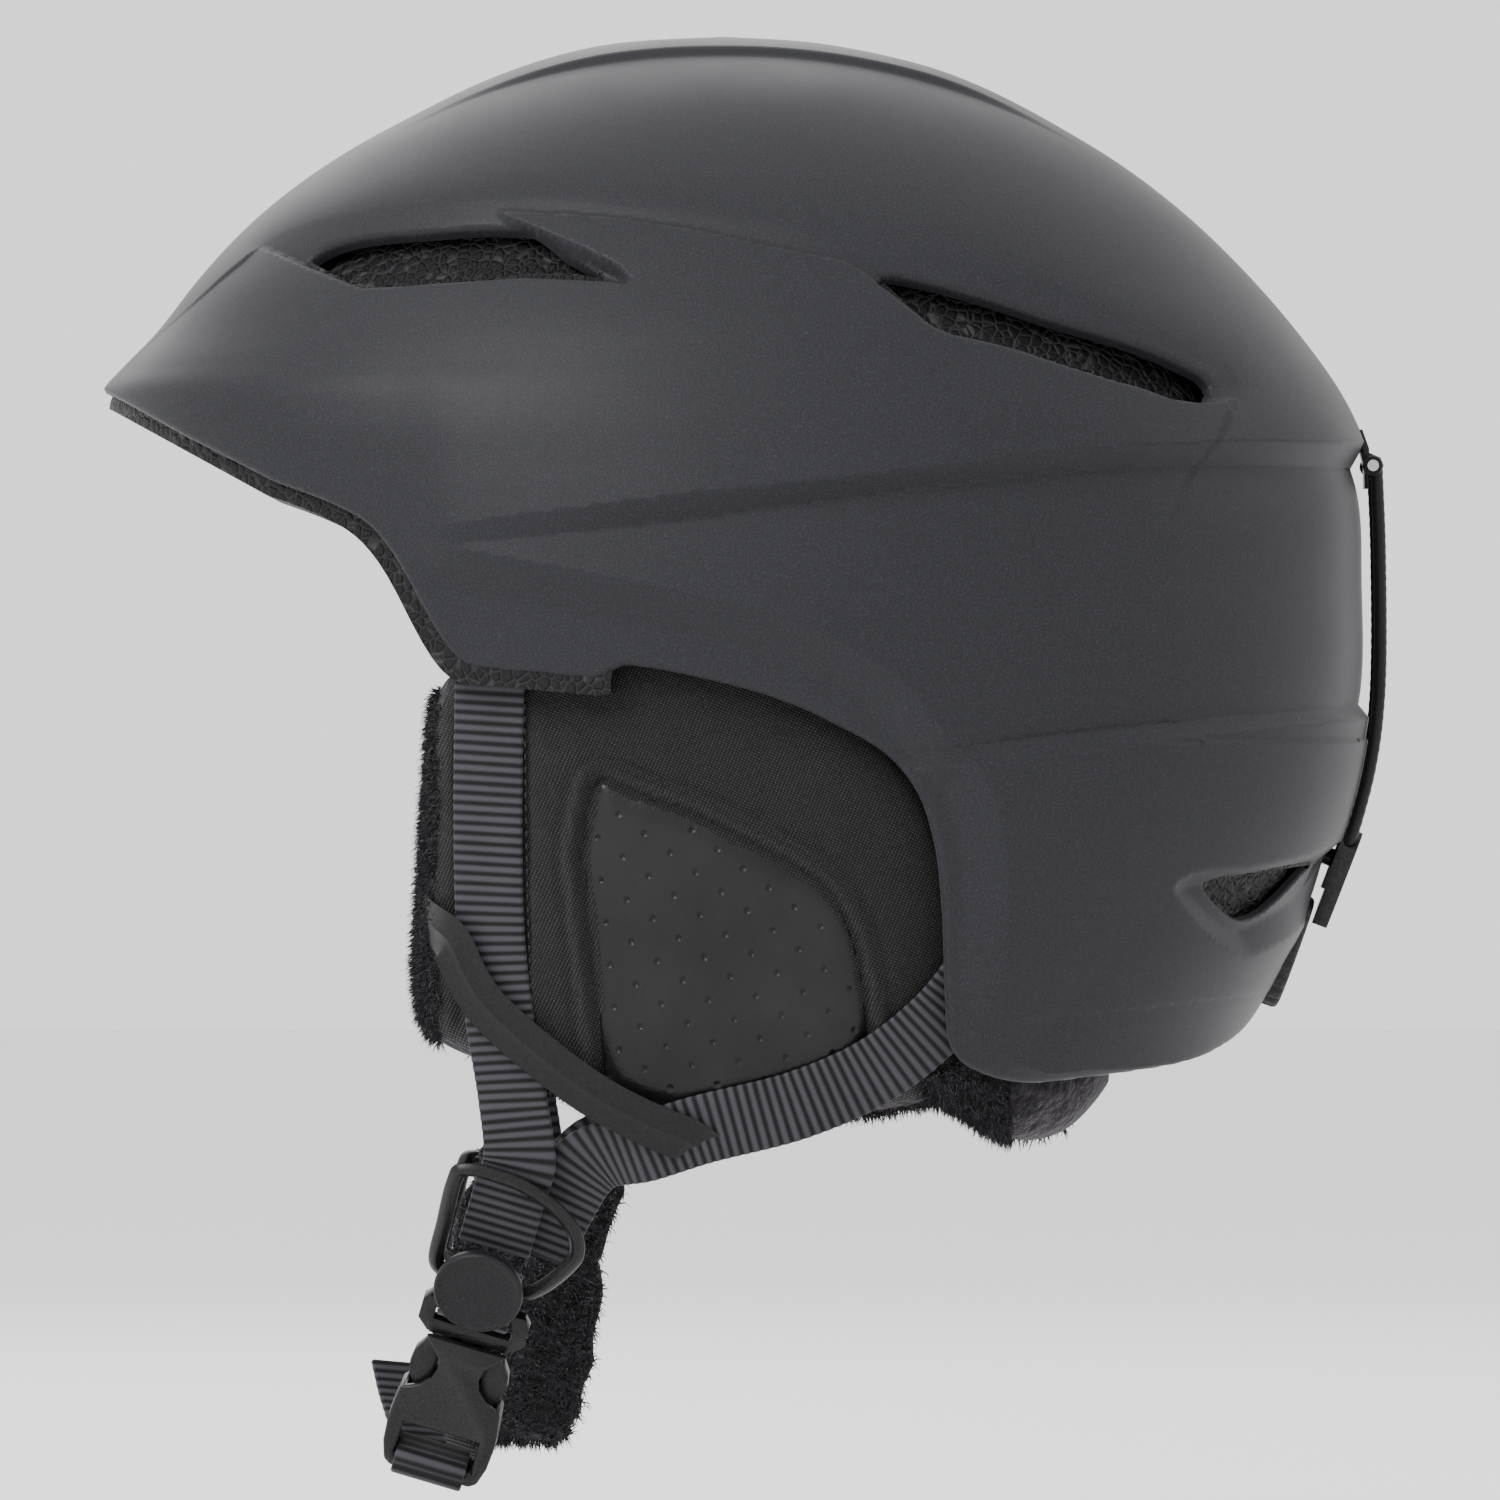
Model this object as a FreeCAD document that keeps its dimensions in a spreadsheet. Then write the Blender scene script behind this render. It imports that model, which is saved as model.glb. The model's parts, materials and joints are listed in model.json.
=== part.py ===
import FreeCAD, Part
import Sketcher
import math
import os
import re
from FreeCAD import Matrix, Placement, Rotation, Vector

# Ski helmet, millimetres. +Z up, the brim points along -Y, the wearer's left is +X.
# The origin is the middle of the head space, level with the lower edge of the shell at the temples.

doc = FreeCAD.newDocument("ski_helmet")
sheet = doc.addObject("Spreadsheet::Sheet", "sizes")

SIZES = {
    "shell_wall": 2.2, "liner_gap": 0.3, "vent_deep": 7.5,
    "web_wide": 16, "web_thick": 1.4,
    "ear_pad_top": 9, "ear_pad_deep": 25, "patch_top": 8,
    "front_web_top": 7.4, "rear_web_top": 6.0, "band_top": 4.7, "band_thick": 0.9, "band_wide": 12.5,
    "slot_play": 0.3, "anchor_wide": 22, "anchor_thick": 3.4, "anchor_tall": 6,
    "ring_thick": 3.2, "ring_bar": 3.4, "ring_rise": 0.9,
    "button_rad": 9.8, "button_thick": 2.4, "post_rad": 2.0, "post_hole": 2.2,
    "buckle_wide": 24, "buckle_thick": 7.0, "arm_thick": 3.1,
    "knuckle_rad": 1.6, "knuckle_play": 0.15,
    "dial_rad": 13, "dial_thick": 6.6, "dial_ribs": 20, "rib_rad": 1.0,
    "shaft_rad": 2.5, "shaft_long": 22.2, "shaft_play": 0.06,
    "pinion_rad": 5.0, "pinion_thick": 3.6, "pinion_teeth": 10,
    "tooth_tall": 1.1, "rack_tall": 3.2, "rack_thick": 1.8,
    "case_wide": 46, "case_tall": 25, "case_wall": 2.0, "case_deep": 10.7,
    "nape_pad_wide": 42, "nape_pad_tall": 22, "nape_pad_thick": 5,
    "chin_pad_thick": 8, "chin_pad_wide": 38, "cord_rad": 1.45, "cord_half": 11,
    "pin_rad": 1.25, "pin_long": 28.4, "pin_play": 0.05,
    "stud_rad": 2.4, "stud_tall": 2.8, "stem_long": 4.8, "flange_rad": 4.2, "flange_thick": 1.5,
    "stud_play": 0.8,
}
for row, (alias, value) in enumerate(SIZES.items(), start=1):
    sheet.set("A%d" % row, alias)
    sheet.set("B%d" % row, str(value))
    sheet.setAlias("B%d" % row, alias)
doc.recompute()


def size(alias):
    return float(getattr(sheet, alias))


NODES = []


def node(obj, label):
    """Marks a document object as one sub-part of the helmet."""
    obj.Label = label
    NODES.append(obj)
    return obj


def shape_node(label, shape, placement=None):
    """A sub-part whose shape neither sketches nor primitives fit."""
    feature = doc.addObject("Part::Feature", label)
    feature.Shape = shape
    if placement is not None:
        feature.Placement = placement
    return node(feature, label)


def made(kind, name, placement, **sizes):
    """A Part primitive whose sizes are expressions of the sheet's cells."""
    obj = doc.addObject("Part::" + kind, name)
    for prop, expression in sizes.items():
        obj.setExpression(prop, re.sub("([a-z]+_[a-z_]+)", r"<<sizes>>.\1", expression))
    obj.Placement = placement
    return obj


def cut(name, base, *tools):
    """base less each tool, as Part::Cut objects."""
    for i, tool in enumerate(tools):
        step = doc.addObject("Part::Cut", "%s_cut_%d" % (name, i))
        step.Base = base
        step.Tool = tool
        base = step
    return base


def fuse(name, *shapes):
    joined = doc.addObject("Part::MultiFuse", name + "_fuse")
    joined.Shapes = list(shapes)
    return joined


def rounded(name, base, radius, wanted):
    """base with a fillet along the edges that wanted picks."""
    doc.recompute()
    fillet = doc.addObject("Part::Fillet", name + "_fillet")
    fillet.Base = base
    fillet.Edges = [(i, radius, radius) for i, edge in enumerate(base.Shape.Edges, start=1) if wanted(edge)]
    return fillet


def reflected(name, source):
    """The other side's copy of a left sub-part."""
    other = doc.addObject("Part::Mirroring", name)
    other.Source = source
    other.Base = Vector(0, 0, 0)
    other.Normal = Vector(1, 0, 0)
    return other


# ---------------------------------------------------------------- head-shaped surfaces

# Each level: height, front and rear on the centre line, half width.
SHELL_LEVELS = [
    (-125, -105, 88, 78), (-100, -110, 100, 88), (-77, -115, 111, 96), (-56, -119, 123.5, 101),
    (-30, -124, 134.5, 106), (-7, -129, 138.5, 108.5), (20, -134, 138.5, 109), (45, -139, 137.8, 107),
    (57, -141, 134.5, 104.5), (64, -140, 131, 102.3), (69, -135.5, 127.8, 100.4), (75, -129.5, 123.5, 98),
    (88.4, -118.5, 112.5, 90), (101.7, -105.6, 99.2, 80), (114.9, -88.2, 82, 66.5), (127.1, -65.4, 59, 49),
    (133.7, -48, 40.2, 34.5), (138.1, -28.7, 19.7, 19),
]
SHELL_CROWN = (-3, 139.9)
HEAD_LEVELS = [
    (-135, -88, 86, 74), (-90, -92, 92, 76), (-54, -95, 99, 78), (0, -97, 104, 79), (30, -97, 104, 79),
    (55, -93, 100, 77), (75, -84, 91, 71.5), (90, -70, 77, 62), (101, -52, 59, 49), (108, -33, 40, 34),
    (111, -17, 24, 19),
]
HEAD_CROWN = (3.5, 112)
PLAN_POWER = 2.25       # superellipse power of each level's outline
WIDEST = 0.53           # where along its length a level is widest
RING_POINTS = 16
EXTRA_DEPTH = 12        # how far an inner surface runs on below the outer one


def level_ring(z, front, rear, half):
    """One level's closed outline: a superellipse with a longer front or rear half."""
    middle = front + WIDEST * (rear - front)
    points = []
    for i in range(RING_POINTS):
        turn = 2 * math.pi * i / RING_POINTS
        c, s = math.cos(turn), math.sin(turn)
        reach = (rear - middle) if c > 0 else (middle - front)
        points.append(Vector(
            half * math.copysign(abs(s) ** (2 / PLAN_POWER), s),
            middle + reach * math.copysign(abs(c) ** (2 / PLAN_POWER), c), z))
    curve = Part.BSplineCurve()
    curve.interpolate(Points=points, PeriodicFlag=True)
    return Part.Wire([curve.toShape()])


def dome(levels, crown, inset=0.0):
    """The closed solid under a head-shaped surface, moved in by inset along its own normal."""
    reach = [((rear - front) / 2 + half) / 2 for _, front, rear, half in levels]
    heights = [level[0] for level in levels]
    rings = []
    for k, (z, front, rear, half) in enumerate(levels):
        low, high = max(k - 1, 0), min(k + 1, len(levels) - 1)
        rise, grow = heights[high] - heights[low], reach[high] - reach[low]
        slope = math.hypot(rise, grow)
        out, up = inset * rise / slope, -inset * grow / slope
        rings.append((z - up, front + out, rear - out, half - out))
    if inset > 0:
        z, front, rear, half = rings[0]
        rings.insert(0, (z - EXTRA_DEPTH, front + 2, rear - 4, half - 4))
    top = Part.Vertex(0, crown[0], crown[1] - inset)
    return Part.makeLoft([level_ring(*r) for r in rings] + [top], True, False)


DOMES = {}


def shell_inset(inset):
    """The helmet's outer surface moved in by inset, kept once made."""
    if inset not in DOMES:
        DOMES[inset] = dome(SHELL_LEVELS, SHELL_CROWN, inset)
    return DOMES[inset]


def head_inset(inset):
    """The head space's surface moved in by inset."""
    if ("head", inset) not in DOMES:
        DOMES["head", inset] = dome(HEAD_LEVELS, HEAD_CROWN, inset)
    return DOMES["head", inset]


# ---------------------------------------------------------------- outlines seen from the side

FAR = 160               # beyond the helmet on every side


def side_wire(runs):
    """A closed wire in the Y-Z plane from runs of (kind, points); each run starts where the last ended."""
    edges, last = [], None
    for kind, points in runs:
        points = [Vector(0, y, z) for y, z in points]
        if last is not None:
            points = [last] + points
        if kind == "line":
            edges += [Part.LineSegment(a, b).toShape() for a, b in zip(points, points[1:])]
        else:
            curve = Part.BSplineCurve()
            curve.interpolate(Points=points)
            edges.append(curve.toShape())
        last = points[-1]
    first = edges[0].Vertexes[0].Point
    if (last - first).Length > 1e-6:
        edges.append(Part.LineSegment(last, first).toShape())
    return Part.Wire(edges)


def loop_wire(points):
    """A smooth closed wire in the Y-Z plane."""
    curve = Part.BSplineCurve()
    curve.interpolate(Points=[Vector(0, y, z) for y, z in points], PeriodicFlag=True)
    return Part.Wire([curve.toShape()])


def prism(wire, side):
    """The wire's inside pushed along X: side +1 is the left half, -1 the right half, 0 both."""
    face = Part.Face(wire)
    if side == 0:
        face.translate(Vector(-FAR, 0, 0))
        return face.extrude(Vector(2 * FAR, 0, 0))
    return face.extrude(Vector(side * FAR, 0, 0))


def layer(wire, side, top, bottom):
    """The part of the helmet wall inside the wire, between two depths below the outer surface."""
    return prism(wire, side).common(shell_inset(top)).cut(shell_inset(bottom))


def strip_wire(points, width):
    """The outline of a strap of this width along a path seen from the side."""
    left, right = [], []
    for i, (y, z) in enumerate(points):
        a, b = points[max(i - 1, 0)], points[min(i + 1, len(points) - 1)]
        run = math.hypot(b[0] - a[0], b[1] - a[1])
        ny, nz = -(b[1] - a[1]) / run, (b[0] - a[0]) / run
        left.append((y + ny * width / 2, z + nz * width / 2))
        right.append((y - ny * width / 2, z - nz * width / 2))
    return side_wire([("curve", left), ("line", [right[-1]]), ("curve", right[-2::-1]), ("line", [left[0]])])


def moved_back(points, extra):
    """The path with its start run on by extra."""
    (y0, z0), (y1, z1) = points[0], points[1]
    run = math.hypot(y0 - y1, z0 - z1)
    return [(y0 + (y0 - y1) / run * extra, z0 + (z0 - z1) / run * extra)] + points


# The shell's lower edge, from beyond the brim to beyond the nape.
SHELL_EDGE = [
    ("line", [(-FAR, 72.8), (-140.1, 63.6), (-101, 42.7)]),
    ("curve", [(-87.7, 37.6), (-80, 33.2), (-74.5, 26.5), (-64.1, 7.7), (-59.6, 2.9), (-54, 1.7)]),
    ("line", [(-32, -0.4)]),
    ("curve", [(-29.5, 0.2), (-25.5, 2.4), (-20, 2.2), (6.2, -3.8), (21.4, -10.2), (32.8, -17),
               (39.7, -25.4), (43.5, -36.9), (45.3, -52.2), (46.2, -70), (47.5, -81), (49.9, -84.4),
               (55.3, -86.8), (62.1, -87.8), (72, -86.8), (82.2, -85.4), (97.9, -82.4), (109.4, -77),
               (116.5, -69), (121.5, -59.5), (127, -54)]),
    ("line", [(FAR, -54), (FAR, -FAR), (-FAR, -FAR)]),
]
# The foam liner's lower edge: proud of the shell in front, tucked up over the ear pads and at the nape.
LINER_EDGE = [
    ("line", [(-FAR, 69.8), (-140, 60.6), (-102.2, 39.9)]),
    ("curve", [(-89.2, 34.9), (-82.5, 30.7), (-77.3, 24.7), (-67, 6), (-62, 0.2), (-55, -1.5)]),
    ("line", [(-30, -3.8), (-27, -3.4)]),
    ("curve", [(-24, 6), (-18, 9.2), (-8, 8.6), (6, 5), (21, -2), (33, -11), (43, -24), (49.5, -42),
               (51.5, -60), (52.5, -74), (55, -80.5), (62, -83.4), (72, -83), (82, -81.6), (97, -78.5),
               (108, -73.5), (115, -66.5), (121, -57), (127, -51)]),
    ("line", [(FAR, -51), (FAR, -FAR), (-FAR, -FAR)]),
]
FRONT_VENT = [
    ("line", [(-94.9, 92.1), (-91.8, 95)]),
    ("curve", [(-84.2, 96.9), (-63.2, 98.6), (-50.6, 98.8), (-45.5, 98.1), (-41.1, 95.8)]),
    ("line", [(-29.8, 88.4), (-30, 86.8)]),
    ("curve", [(-50.6, 87.3), (-82.3, 86.1), (-88.6, 88.6)]),
]
REAR_VENT = [
    ("curve", [(30.9, 86.8), (32.8, 87.6), (40.4, 86.5), (52.4, 83.5), (70.1, 77.8), (87.9, 71.9),
               (96.8, 68.1), (102.1, 65.1), (103.4, 62.8), (102.1, 60.7), (97.9, 59.8), (90.8, 61.6),
               (76, 66), (58.3, 71.6), (44.6, 75.2), (41.1, 77)]),
]
NAPE_VENT = [
    ("line", [(102.8, -46), (104.3, -43.8), (110.5, -42.7), (128.4, -40.4), (125.7, -43.8),
              (120.6, -48.8), (115.4, -52.6), (110.9, -53.6), (107.6, -51.8)]),
]
NAPE_VENT_NEAR = 27     # the nape vents stop this far from the centre line

# Straps, seen from the side, from the edge of the shell down to the strap divider.
FRONT_STRAP = [(-53.5, -2), (-53.9, -30), (-53.4, -55), (-51.3, -75), (-48.6, -92), (-47.4, -104)]
REAR_STRAP = [(53, -63), (44.5, -73.5), (31, -84.5), (14, -92.3), (-5, -97.6), (-20, -101.5)]
KEEPER_BAND = [(-66, -55.5), (-58, -69), (-45, -80), (-30, -91), (-16, -98), (-9, -100.5)]
STRAP_TOPS = {"front": (FRONT_STRAP, "front_web_top", 15.0), "rear": (REAR_STRAP, "rear_web_top", 17.0)}

EAR_PAD = [
    (-65, -3.4), (-55, -3), (-44, -3.6), (-31, -4.9), (-27.2, -4.4), (-24.2, 0), (-20.6, 4.6), (-15, 7.2),
    (-8, 6.9), (5, 3.5), (19.3, -3.3), (31.2, -12.3), (41, -25), (47.4, -42.6), (49.5, -60), (50.3, -76),
    (48.5, -89), (36, -93.5), (18, -95.5), (0, -97.5), (-20, -96), (-36, -91), (-50, -84.5), (-60, -81.5),
    (-67, -77), (-69.4, -68), (-68.6, -45), (-67, -20),
]
EAR_PATCH = [
    ("line", [(-33.6, -38), (-30, -21.6)]),
    ("curve", [(-21.3, -24.7), (-9, -29.2), (6.2, -36.9), (17.6, -43.8), (23, -50.6), (26.3, -59.7),
               (28, -70)]),
    ("line", [(28.6, -80)]),
    ("curve", [(18, -86.5), (0, -91.5), (-15, -92.8), (-28, -90)]),
]
NECK_PAD = [
    (52, -87.2), (54, -93), (58, -98.5), (64, -100.8), (71, -99.5), (77, -94.5), (82, -88.5), (83.5, -85.3),
    (72, -86.4), (62, -86.6),
]


# ---------------------------------------------------------------- local frames

def frame_at(origin, across, outward, along):
    """A Placement whose own X, Y and Z run across, outward and along."""
    a, o, l = Vector(*across).normalize(), Vector(*outward).normalize(), Vector(*along).normalize()
    m = Matrix(a.x, o.x, l.x, origin[0], a.y, o.y, l.y, origin[1], a.z, o.z, l.z, origin[2], 0, 0, 0, 1)
    return Placement(m)


# The chin strap hangs inward and a little forward from each divider. Its own frame has X towards the
# back of the head, Y out of the strap's face and Z down along the strap.
HANG = (-0.5, -0.247, -0.83)
ACROSS = (0, 0.958, -0.285)
STRAP_START = (73, -47, -104)
OUTWARD = tuple(Vector(*HANG).cross(Vector(*ACROSS)))
CHIN_FRAME = frame_at(STRAP_START, ACROSS, OUTWARD, HANG)

# The fit dial's frame: X to the left, Y out of the dial's face, Z up along the housing.
DIAL_TILT = math.radians(20)
DIAL_FACE = (0, 123.6, -60.5)
DIAL_FRAME = frame_at(
    DIAL_FACE, (1, 0, 0), (0, math.cos(DIAL_TILT), -math.sin(DIAL_TILT)),
    (0, math.sin(DIAL_TILT), math.cos(DIAL_TILT)))


def put(frame, x=0, y=0, z=0, turn=None):
    """A Placement at a point of a local frame."""
    return frame.multiply(Placement(Vector(x, y, z), turn or Rotation()))


def rod_in(frame, x, low, z):
    """Where a Part cylinder starts so that it runs along a local frame's Y."""
    return put(frame, x, low, z, Rotation(Vector(1, 0, 0), -90))


def block(frame, low, high):
    """A plain box between two corners of a local frame."""
    box = Part.makeBox(high[0] - low[0], high[1] - low[1], high[2] - low[2], Vector(*low))
    box.Placement = frame.multiply(box.Placement)
    return box


def plate(frame, points, low, high):
    """A flat outline in a local frame's X-Z plane, thick from low to high along Y."""
    face = Part.Face(Part.makePolygon([Vector(x, low, z) for x, z in points + points[:1]]))
    solid = face.extrude(Vector(0, high - low, 0))
    solid.Placement = frame
    return solid


def barrel(frame, x, z, radius, low, high):
    """A cylinder along a local frame's Y."""
    rod = Part.makeCylinder(radius, high - low, Vector(x, low, z), Vector(0, 1, 0))
    rod.Placement = frame
    return rod


def mirrored(shape):
    return shape.mirror(Vector(0, 0, 0), Vector(1, 0, 0))


# ---------------------------------------------------------------- shell and liner

def vent_tools():
    """The cutting prisms of the three pairs of vents."""
    tools = [prism(side_wire(FRONT_VENT), 0), prism(side_wire(REAR_VENT), 0)]
    for side in (1, -1):
        tool = prism(side_wire(NAPE_VENT), side)
        tool.translate(Vector(side * NAPE_VENT_NEAR, 0, 0))
        tools.append(tool)
    return tools


def make_shell():
    """The thin outer shell, less its open lower side, the dial's notch, the vents and the stud's hole."""
    shell = shell_inset(0).cut(shell_inset(size("shell_wall")))
    notch = barrel(DIAL_FRAME, 0, 0, size("dial_rad") + 2.2, -20, 20)
    stud_hole = barrel(STUD_FRAME, 0, 0, size("post_hole"), -30, 10)
    return shell.cut([prism(side_wire(SHELL_EDGE), 0), notch, stud_hole] + vent_tools())


# The snap stud's frame: Y out of the shell's surface, Z up along it.
STUD_FRAME = frame_at((0, 131.5, -39.3), (1, 0, 0), (0, 0.934, -0.358), (0, 0.358, 0.934))
STUD_BACK = -4.4                # the back of the stud's flange


def strap_slots(grow):
    """The left straps' ends and anchors inside the liner, grown by the slot's play."""
    parts = []
    for path, top_name, deep in STRAP_TOPS.values():
        top, thick = size(top_name) - grow, size("web_thick") + 2 * grow
        run = moved_back(path, deep + grow)[:2]
        outline = strip_wire([run[0], run[1], path[1]], size("web_wide") + 2 * grow)
        parts.append(layer(outline, 1, top, top + thick))
        tip = moved_back(path, deep + 0.1 - grow)[0]
        far = moved_back(path, deep + size("anchor_tall") + grow)[0]
        spread = (size("anchor_thick") - size("web_thick")) / 2
        outline = strip_wire([far, tip], size("anchor_wide") + 2 * grow)
        parts.append(layer(outline, 1, top - spread, top + thick + spread))
    return parts


def make_liner():
    """The foam liner: the head space, the strap slots and the fit system's channel cut from its inside."""
    liner = shell_inset(size("shell_wall") + size("liner_gap")).cut(head_inset(0))
    slots = strap_slots(size("slot_play"))
    half = size("case_tall") / 2 + 3
    channel = block(DIAL_FRAME, (-FAR, -75, -half), (FAR, 30, half)).common(shell_inset(7.5))
    notch = barrel(DIAL_FRAME, 0, 0, size("dial_rad") + 3.5, -20, 20)
    bay = block(DIAL_FRAME, (-24.2, -40, -half + 1.5), (24.2, -11, half - 1.5))
    stud_pocket = barrel(STUD_FRAME, 0, 0, size("flange_rad") + 0.6, STUD_BACK - 0.6, 10)
    pockets = [tool.cut(shell_inset(size("vent_deep"))) for tool in vent_tools()]
    tools = [prism(side_wire(LINER_EDGE), 0), channel, bay, notch, stud_pocket] + pockets + slots
    return liner.cut(tools + [mirrored(slot) for slot in slots])


shape_node("outer_shell", make_shell())
shape_node("foam_liner", make_liner())

# Comfort pads on the liner's inside.
PAD_THICK = 6.0
BROW_PAD = [(-FAR, 38), (-FAR, 58), (-66, 58), (-60, 38)]
CROWN_PAD = [(-46, 97), (-46, FAR), (52, FAR), (52, 97)]
SIDE_PAD = [(-40, 22), (-44, 52), (46, 52), (52, 22)]
REAR_PAD = [(74, 5), (70, 34), (FAR, 34), (FAR, 5)]


def pad(points, side):
    wire = side_wire([("line", points)])
    return prism(wire, side).common(head_inset(0.25)).cut(head_inset(PAD_THICK))


shape_node("brow_pad", pad(BROW_PAD, 0))
crown = pad(CROWN_PAD, 0)
grooves = [Part.makeBox(5, 2 * FAR, FAR, Vector(x, -FAR, 60)) for x in (-19.5, 14.5)]
shape_node("crown_pads", crown.cut(Part.makeCompound(grooves)))
shape_node("side_pads", Part.makeCompound([pad(SIDE_PAD, s) for s in (1, -1)]))
shape_node("rear_pad", pad(REAR_PAD, 0))

# ---------------------------------------------------------------- ear pads and straps

HUNG_END = 24                   # the straps run this far down past the divider's edge


def surface_at(y, z, inset):
    """The left surface's point at a length and height, moved in by inset, and its outward normal."""
    def reach(y, z):
        ray = Part.makeLine(Vector(0, y, z), Vector(FAR, y, z))
        return shell_inset(inset).common(ray).BoundBox.XMax
    x = reach(y, z)
    return Vector(x, y, z), Vector(1, x - reach(y + 1, z), x - reach(y, z + 1)).normalize()


def chin_point(x, y, z):
    """A point of the chin strap's frame."""
    return CHIN_FRAME.multVec(Vector(x, y, z))


def lofted_strap(stations, width, thick):
    """A strap through stations of (middle, outward direction)."""
    wires = []
    for i, (at, out) in enumerate(stations):
        ahead = stations[min(i + 1, len(stations) - 1)][0] - stations[max(i - 1, 0)][0]
        wide = ahead.cross(out).normalize() * (width / 2)
        deep = wide.cross(ahead).normalize() * (thick / 2)
        corners = [at + wide + deep, at - wide + deep, at - wide - deep, at + wide - deep]
        wires.append(Part.makePolygon(corners + corners[:1]))
    return Part.makeLoft(wires, True, False)


def rear_strap_end():
    """The rear strap's run from under the shell forward to the divider, behind the front strap."""
    thick = size("web_thick")
    middle = size("rear_web_top") + thick / 2
    stations = [surface_at(y, z, middle) for y, z in ((24, -87.9), (8, -94.2))]
    stations += [surface_at(-8, -98, middle + 0.2), surface_at(-20, -101.8, middle + 0.7)]
    outward = Vector(*OUTWARD)
    stations += [(chin_point(x, y, z), outward)
                 for x, y, z in ((14.8, -3, -2), (10.7, -2.5, 12), (9.4, -2.4, HUNG_END))]
    return lofted_strap(stations, size("web_wide"), thick)


def front_strap_end():
    return block(CHIN_FRAME, (-8, -0.7, -1.2), (8, 0.7, HUNG_END))


def sided(label, shape):
    """The left and the right sub-part of a pair."""
    shape_node("left_" + label, shape)
    shape_node("right_" + label, mirrored(shape))


sided("ear_pad", layer(loop_wire(EAR_PAD), 1, size("ear_pad_top"), size("ear_pad_deep")))
sided("ear_patch", layer(side_wire(EAR_PATCH), 1, size("patch_top"), size("ear_pad_top") - 0.1))
sided("neck_pad", layer(loop_wire(NECK_PAD), 1, size("ear_pad_top"), size("ear_pad_deep") - 2))

anchors = []
for kind, (path, top_name, deep) in STRAP_TOPS.items():
    top, web = size(top_name), size("web_thick")
    seen = path if kind == "front" else path[:4]
    strap = layer(strip_wire(moved_back(seen, deep), size("web_wide")), 1, top, top + web)
    sided(kind + "_strap", strap.fuse(front_strap_end() if kind == "front" else rear_strap_end()))
    tip = moved_back(path, deep + 0.1)[0]
    far = moved_back(path, deep + size("anchor_tall"))[0]
    spread = (size("anchor_thick") - web) / 2
    anchors.append(layer(strip_wire([far, tip], size("anchor_wide")), 1, top - spread, top + web + spread))
sided("strap_anchors", Part.makeCompound(anchors))
sided("strap_keeper", layer(strip_wire(KEEPER_BAND, size("band_wide")), 1,
                            size("band_top"), size("band_top") + size("band_thick")))

# ---------------------------------------------------------------- strap dividers

RING_OUTLINE = [(-14, 9), (-13.5, 5), (-9, 3.6), (3, 3.6), (12, 7), (18.6, 13.2), (19.2, 20), (12.8, 31),
                (9.8, 33.6), (-9.8, 33.6), (-12.8, 31)]
LOW_BAR = (29.8, 33.3)          # the divider's lower bar, along the strap
BUTTON_AT = (-0.5, 31.5)
POST_PROUD = 1.9                # the button's post stands this far out of the ring


def make_ring():
    low = size("ring_rise")
    wire = Part.makePolygon([Vector(x, low, z) for x, z in RING_OUTLINE + RING_OUTLINE[:1]])
    window = Part.Face(wire).makeOffset2D(-size("ring_bar"))
    ring = Part.Face(wire).cut(window).extrude(Vector(0, size("ring_thick"), 0))
    post = Part.makeCylinder(size("post_rad"), size("ring_thick") + POST_PROUD,
                             Vector(BUTTON_AT[0], low, BUTTON_AT[1]), Vector(0, 1, 0))
    ring = ring.fuse(post).removeSplitter()
    ring.Placement = CHIN_FRAME
    return ring


def make_buttons():
    """The round caps on the two dividers' posts."""
    low = size("ring_rise") + size("ring_thick") + POST_PROUD
    blank = made("Cylinder", "button_blank", rod_in(CHIN_FRAME, BUTTON_AT[0], low, BUTTON_AT[1]),
                 Radius="button_rad", Height="button_thick")
    top = CHIN_FRAME.multVec(Vector(BUTTON_AT[0], low + size("button_thick"), BUTTON_AT[1]))
    cap = rounded("button", blank, 0.9, lambda edge: (
        len(edge.Vertexes) == 1 and (edge.BoundBox.Center - top).Length < 0.1))
    node(cap, "left_divider_button")
    node(reflected("right_button", cap), "right_divider_button")


def make_buckle_strap(far_bar):
    """A sewn loop of webbing from the divider's lower bar to the next bar, open at the button's post."""
    thick, half = size("web_thick"), size("web_wide") / 2
    low, high = size("ring_rise") - 0.15, size("ring_rise") + size("ring_thick") + 0.15
    start, end = LOW_BAR[0] - 0.4, far_bar + 0.4
    outer = Part.makeBox(2 * half, high - low + 2 * thick, end - start + 2 * thick,
                         Vector(-half, low - thick, start - thick))
    upright = [e for e in outer.Edges if abs(e.BoundBox.XLength - 2 * half) < 1e-6]
    outer = outer.makeFillet(2.2, upright)
    inner = Part.makeBox(2 * half + 2, high - low, end - start, Vector(-half - 1, low, start))
    hole = Part.makeCylinder(size("post_hole"), 12, Vector(BUTTON_AT[0], high - 1, BUTTON_AT[1]),
                             Vector(0, 1, 0))
    loop = outer.cut(inner).cut(hole)
    loop.Placement = CHIN_FRAME
    return loop


PLUG_BAR = (37.2, 40.4)         # the buckle plug's strap bar, along the strap
sided("strap_divider", make_ring())
make_buttons()
shape_node("plug_strap", make_buckle_strap(PLUG_BAR[1]))

# ---------------------------------------------------------------- side-release buckle

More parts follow.
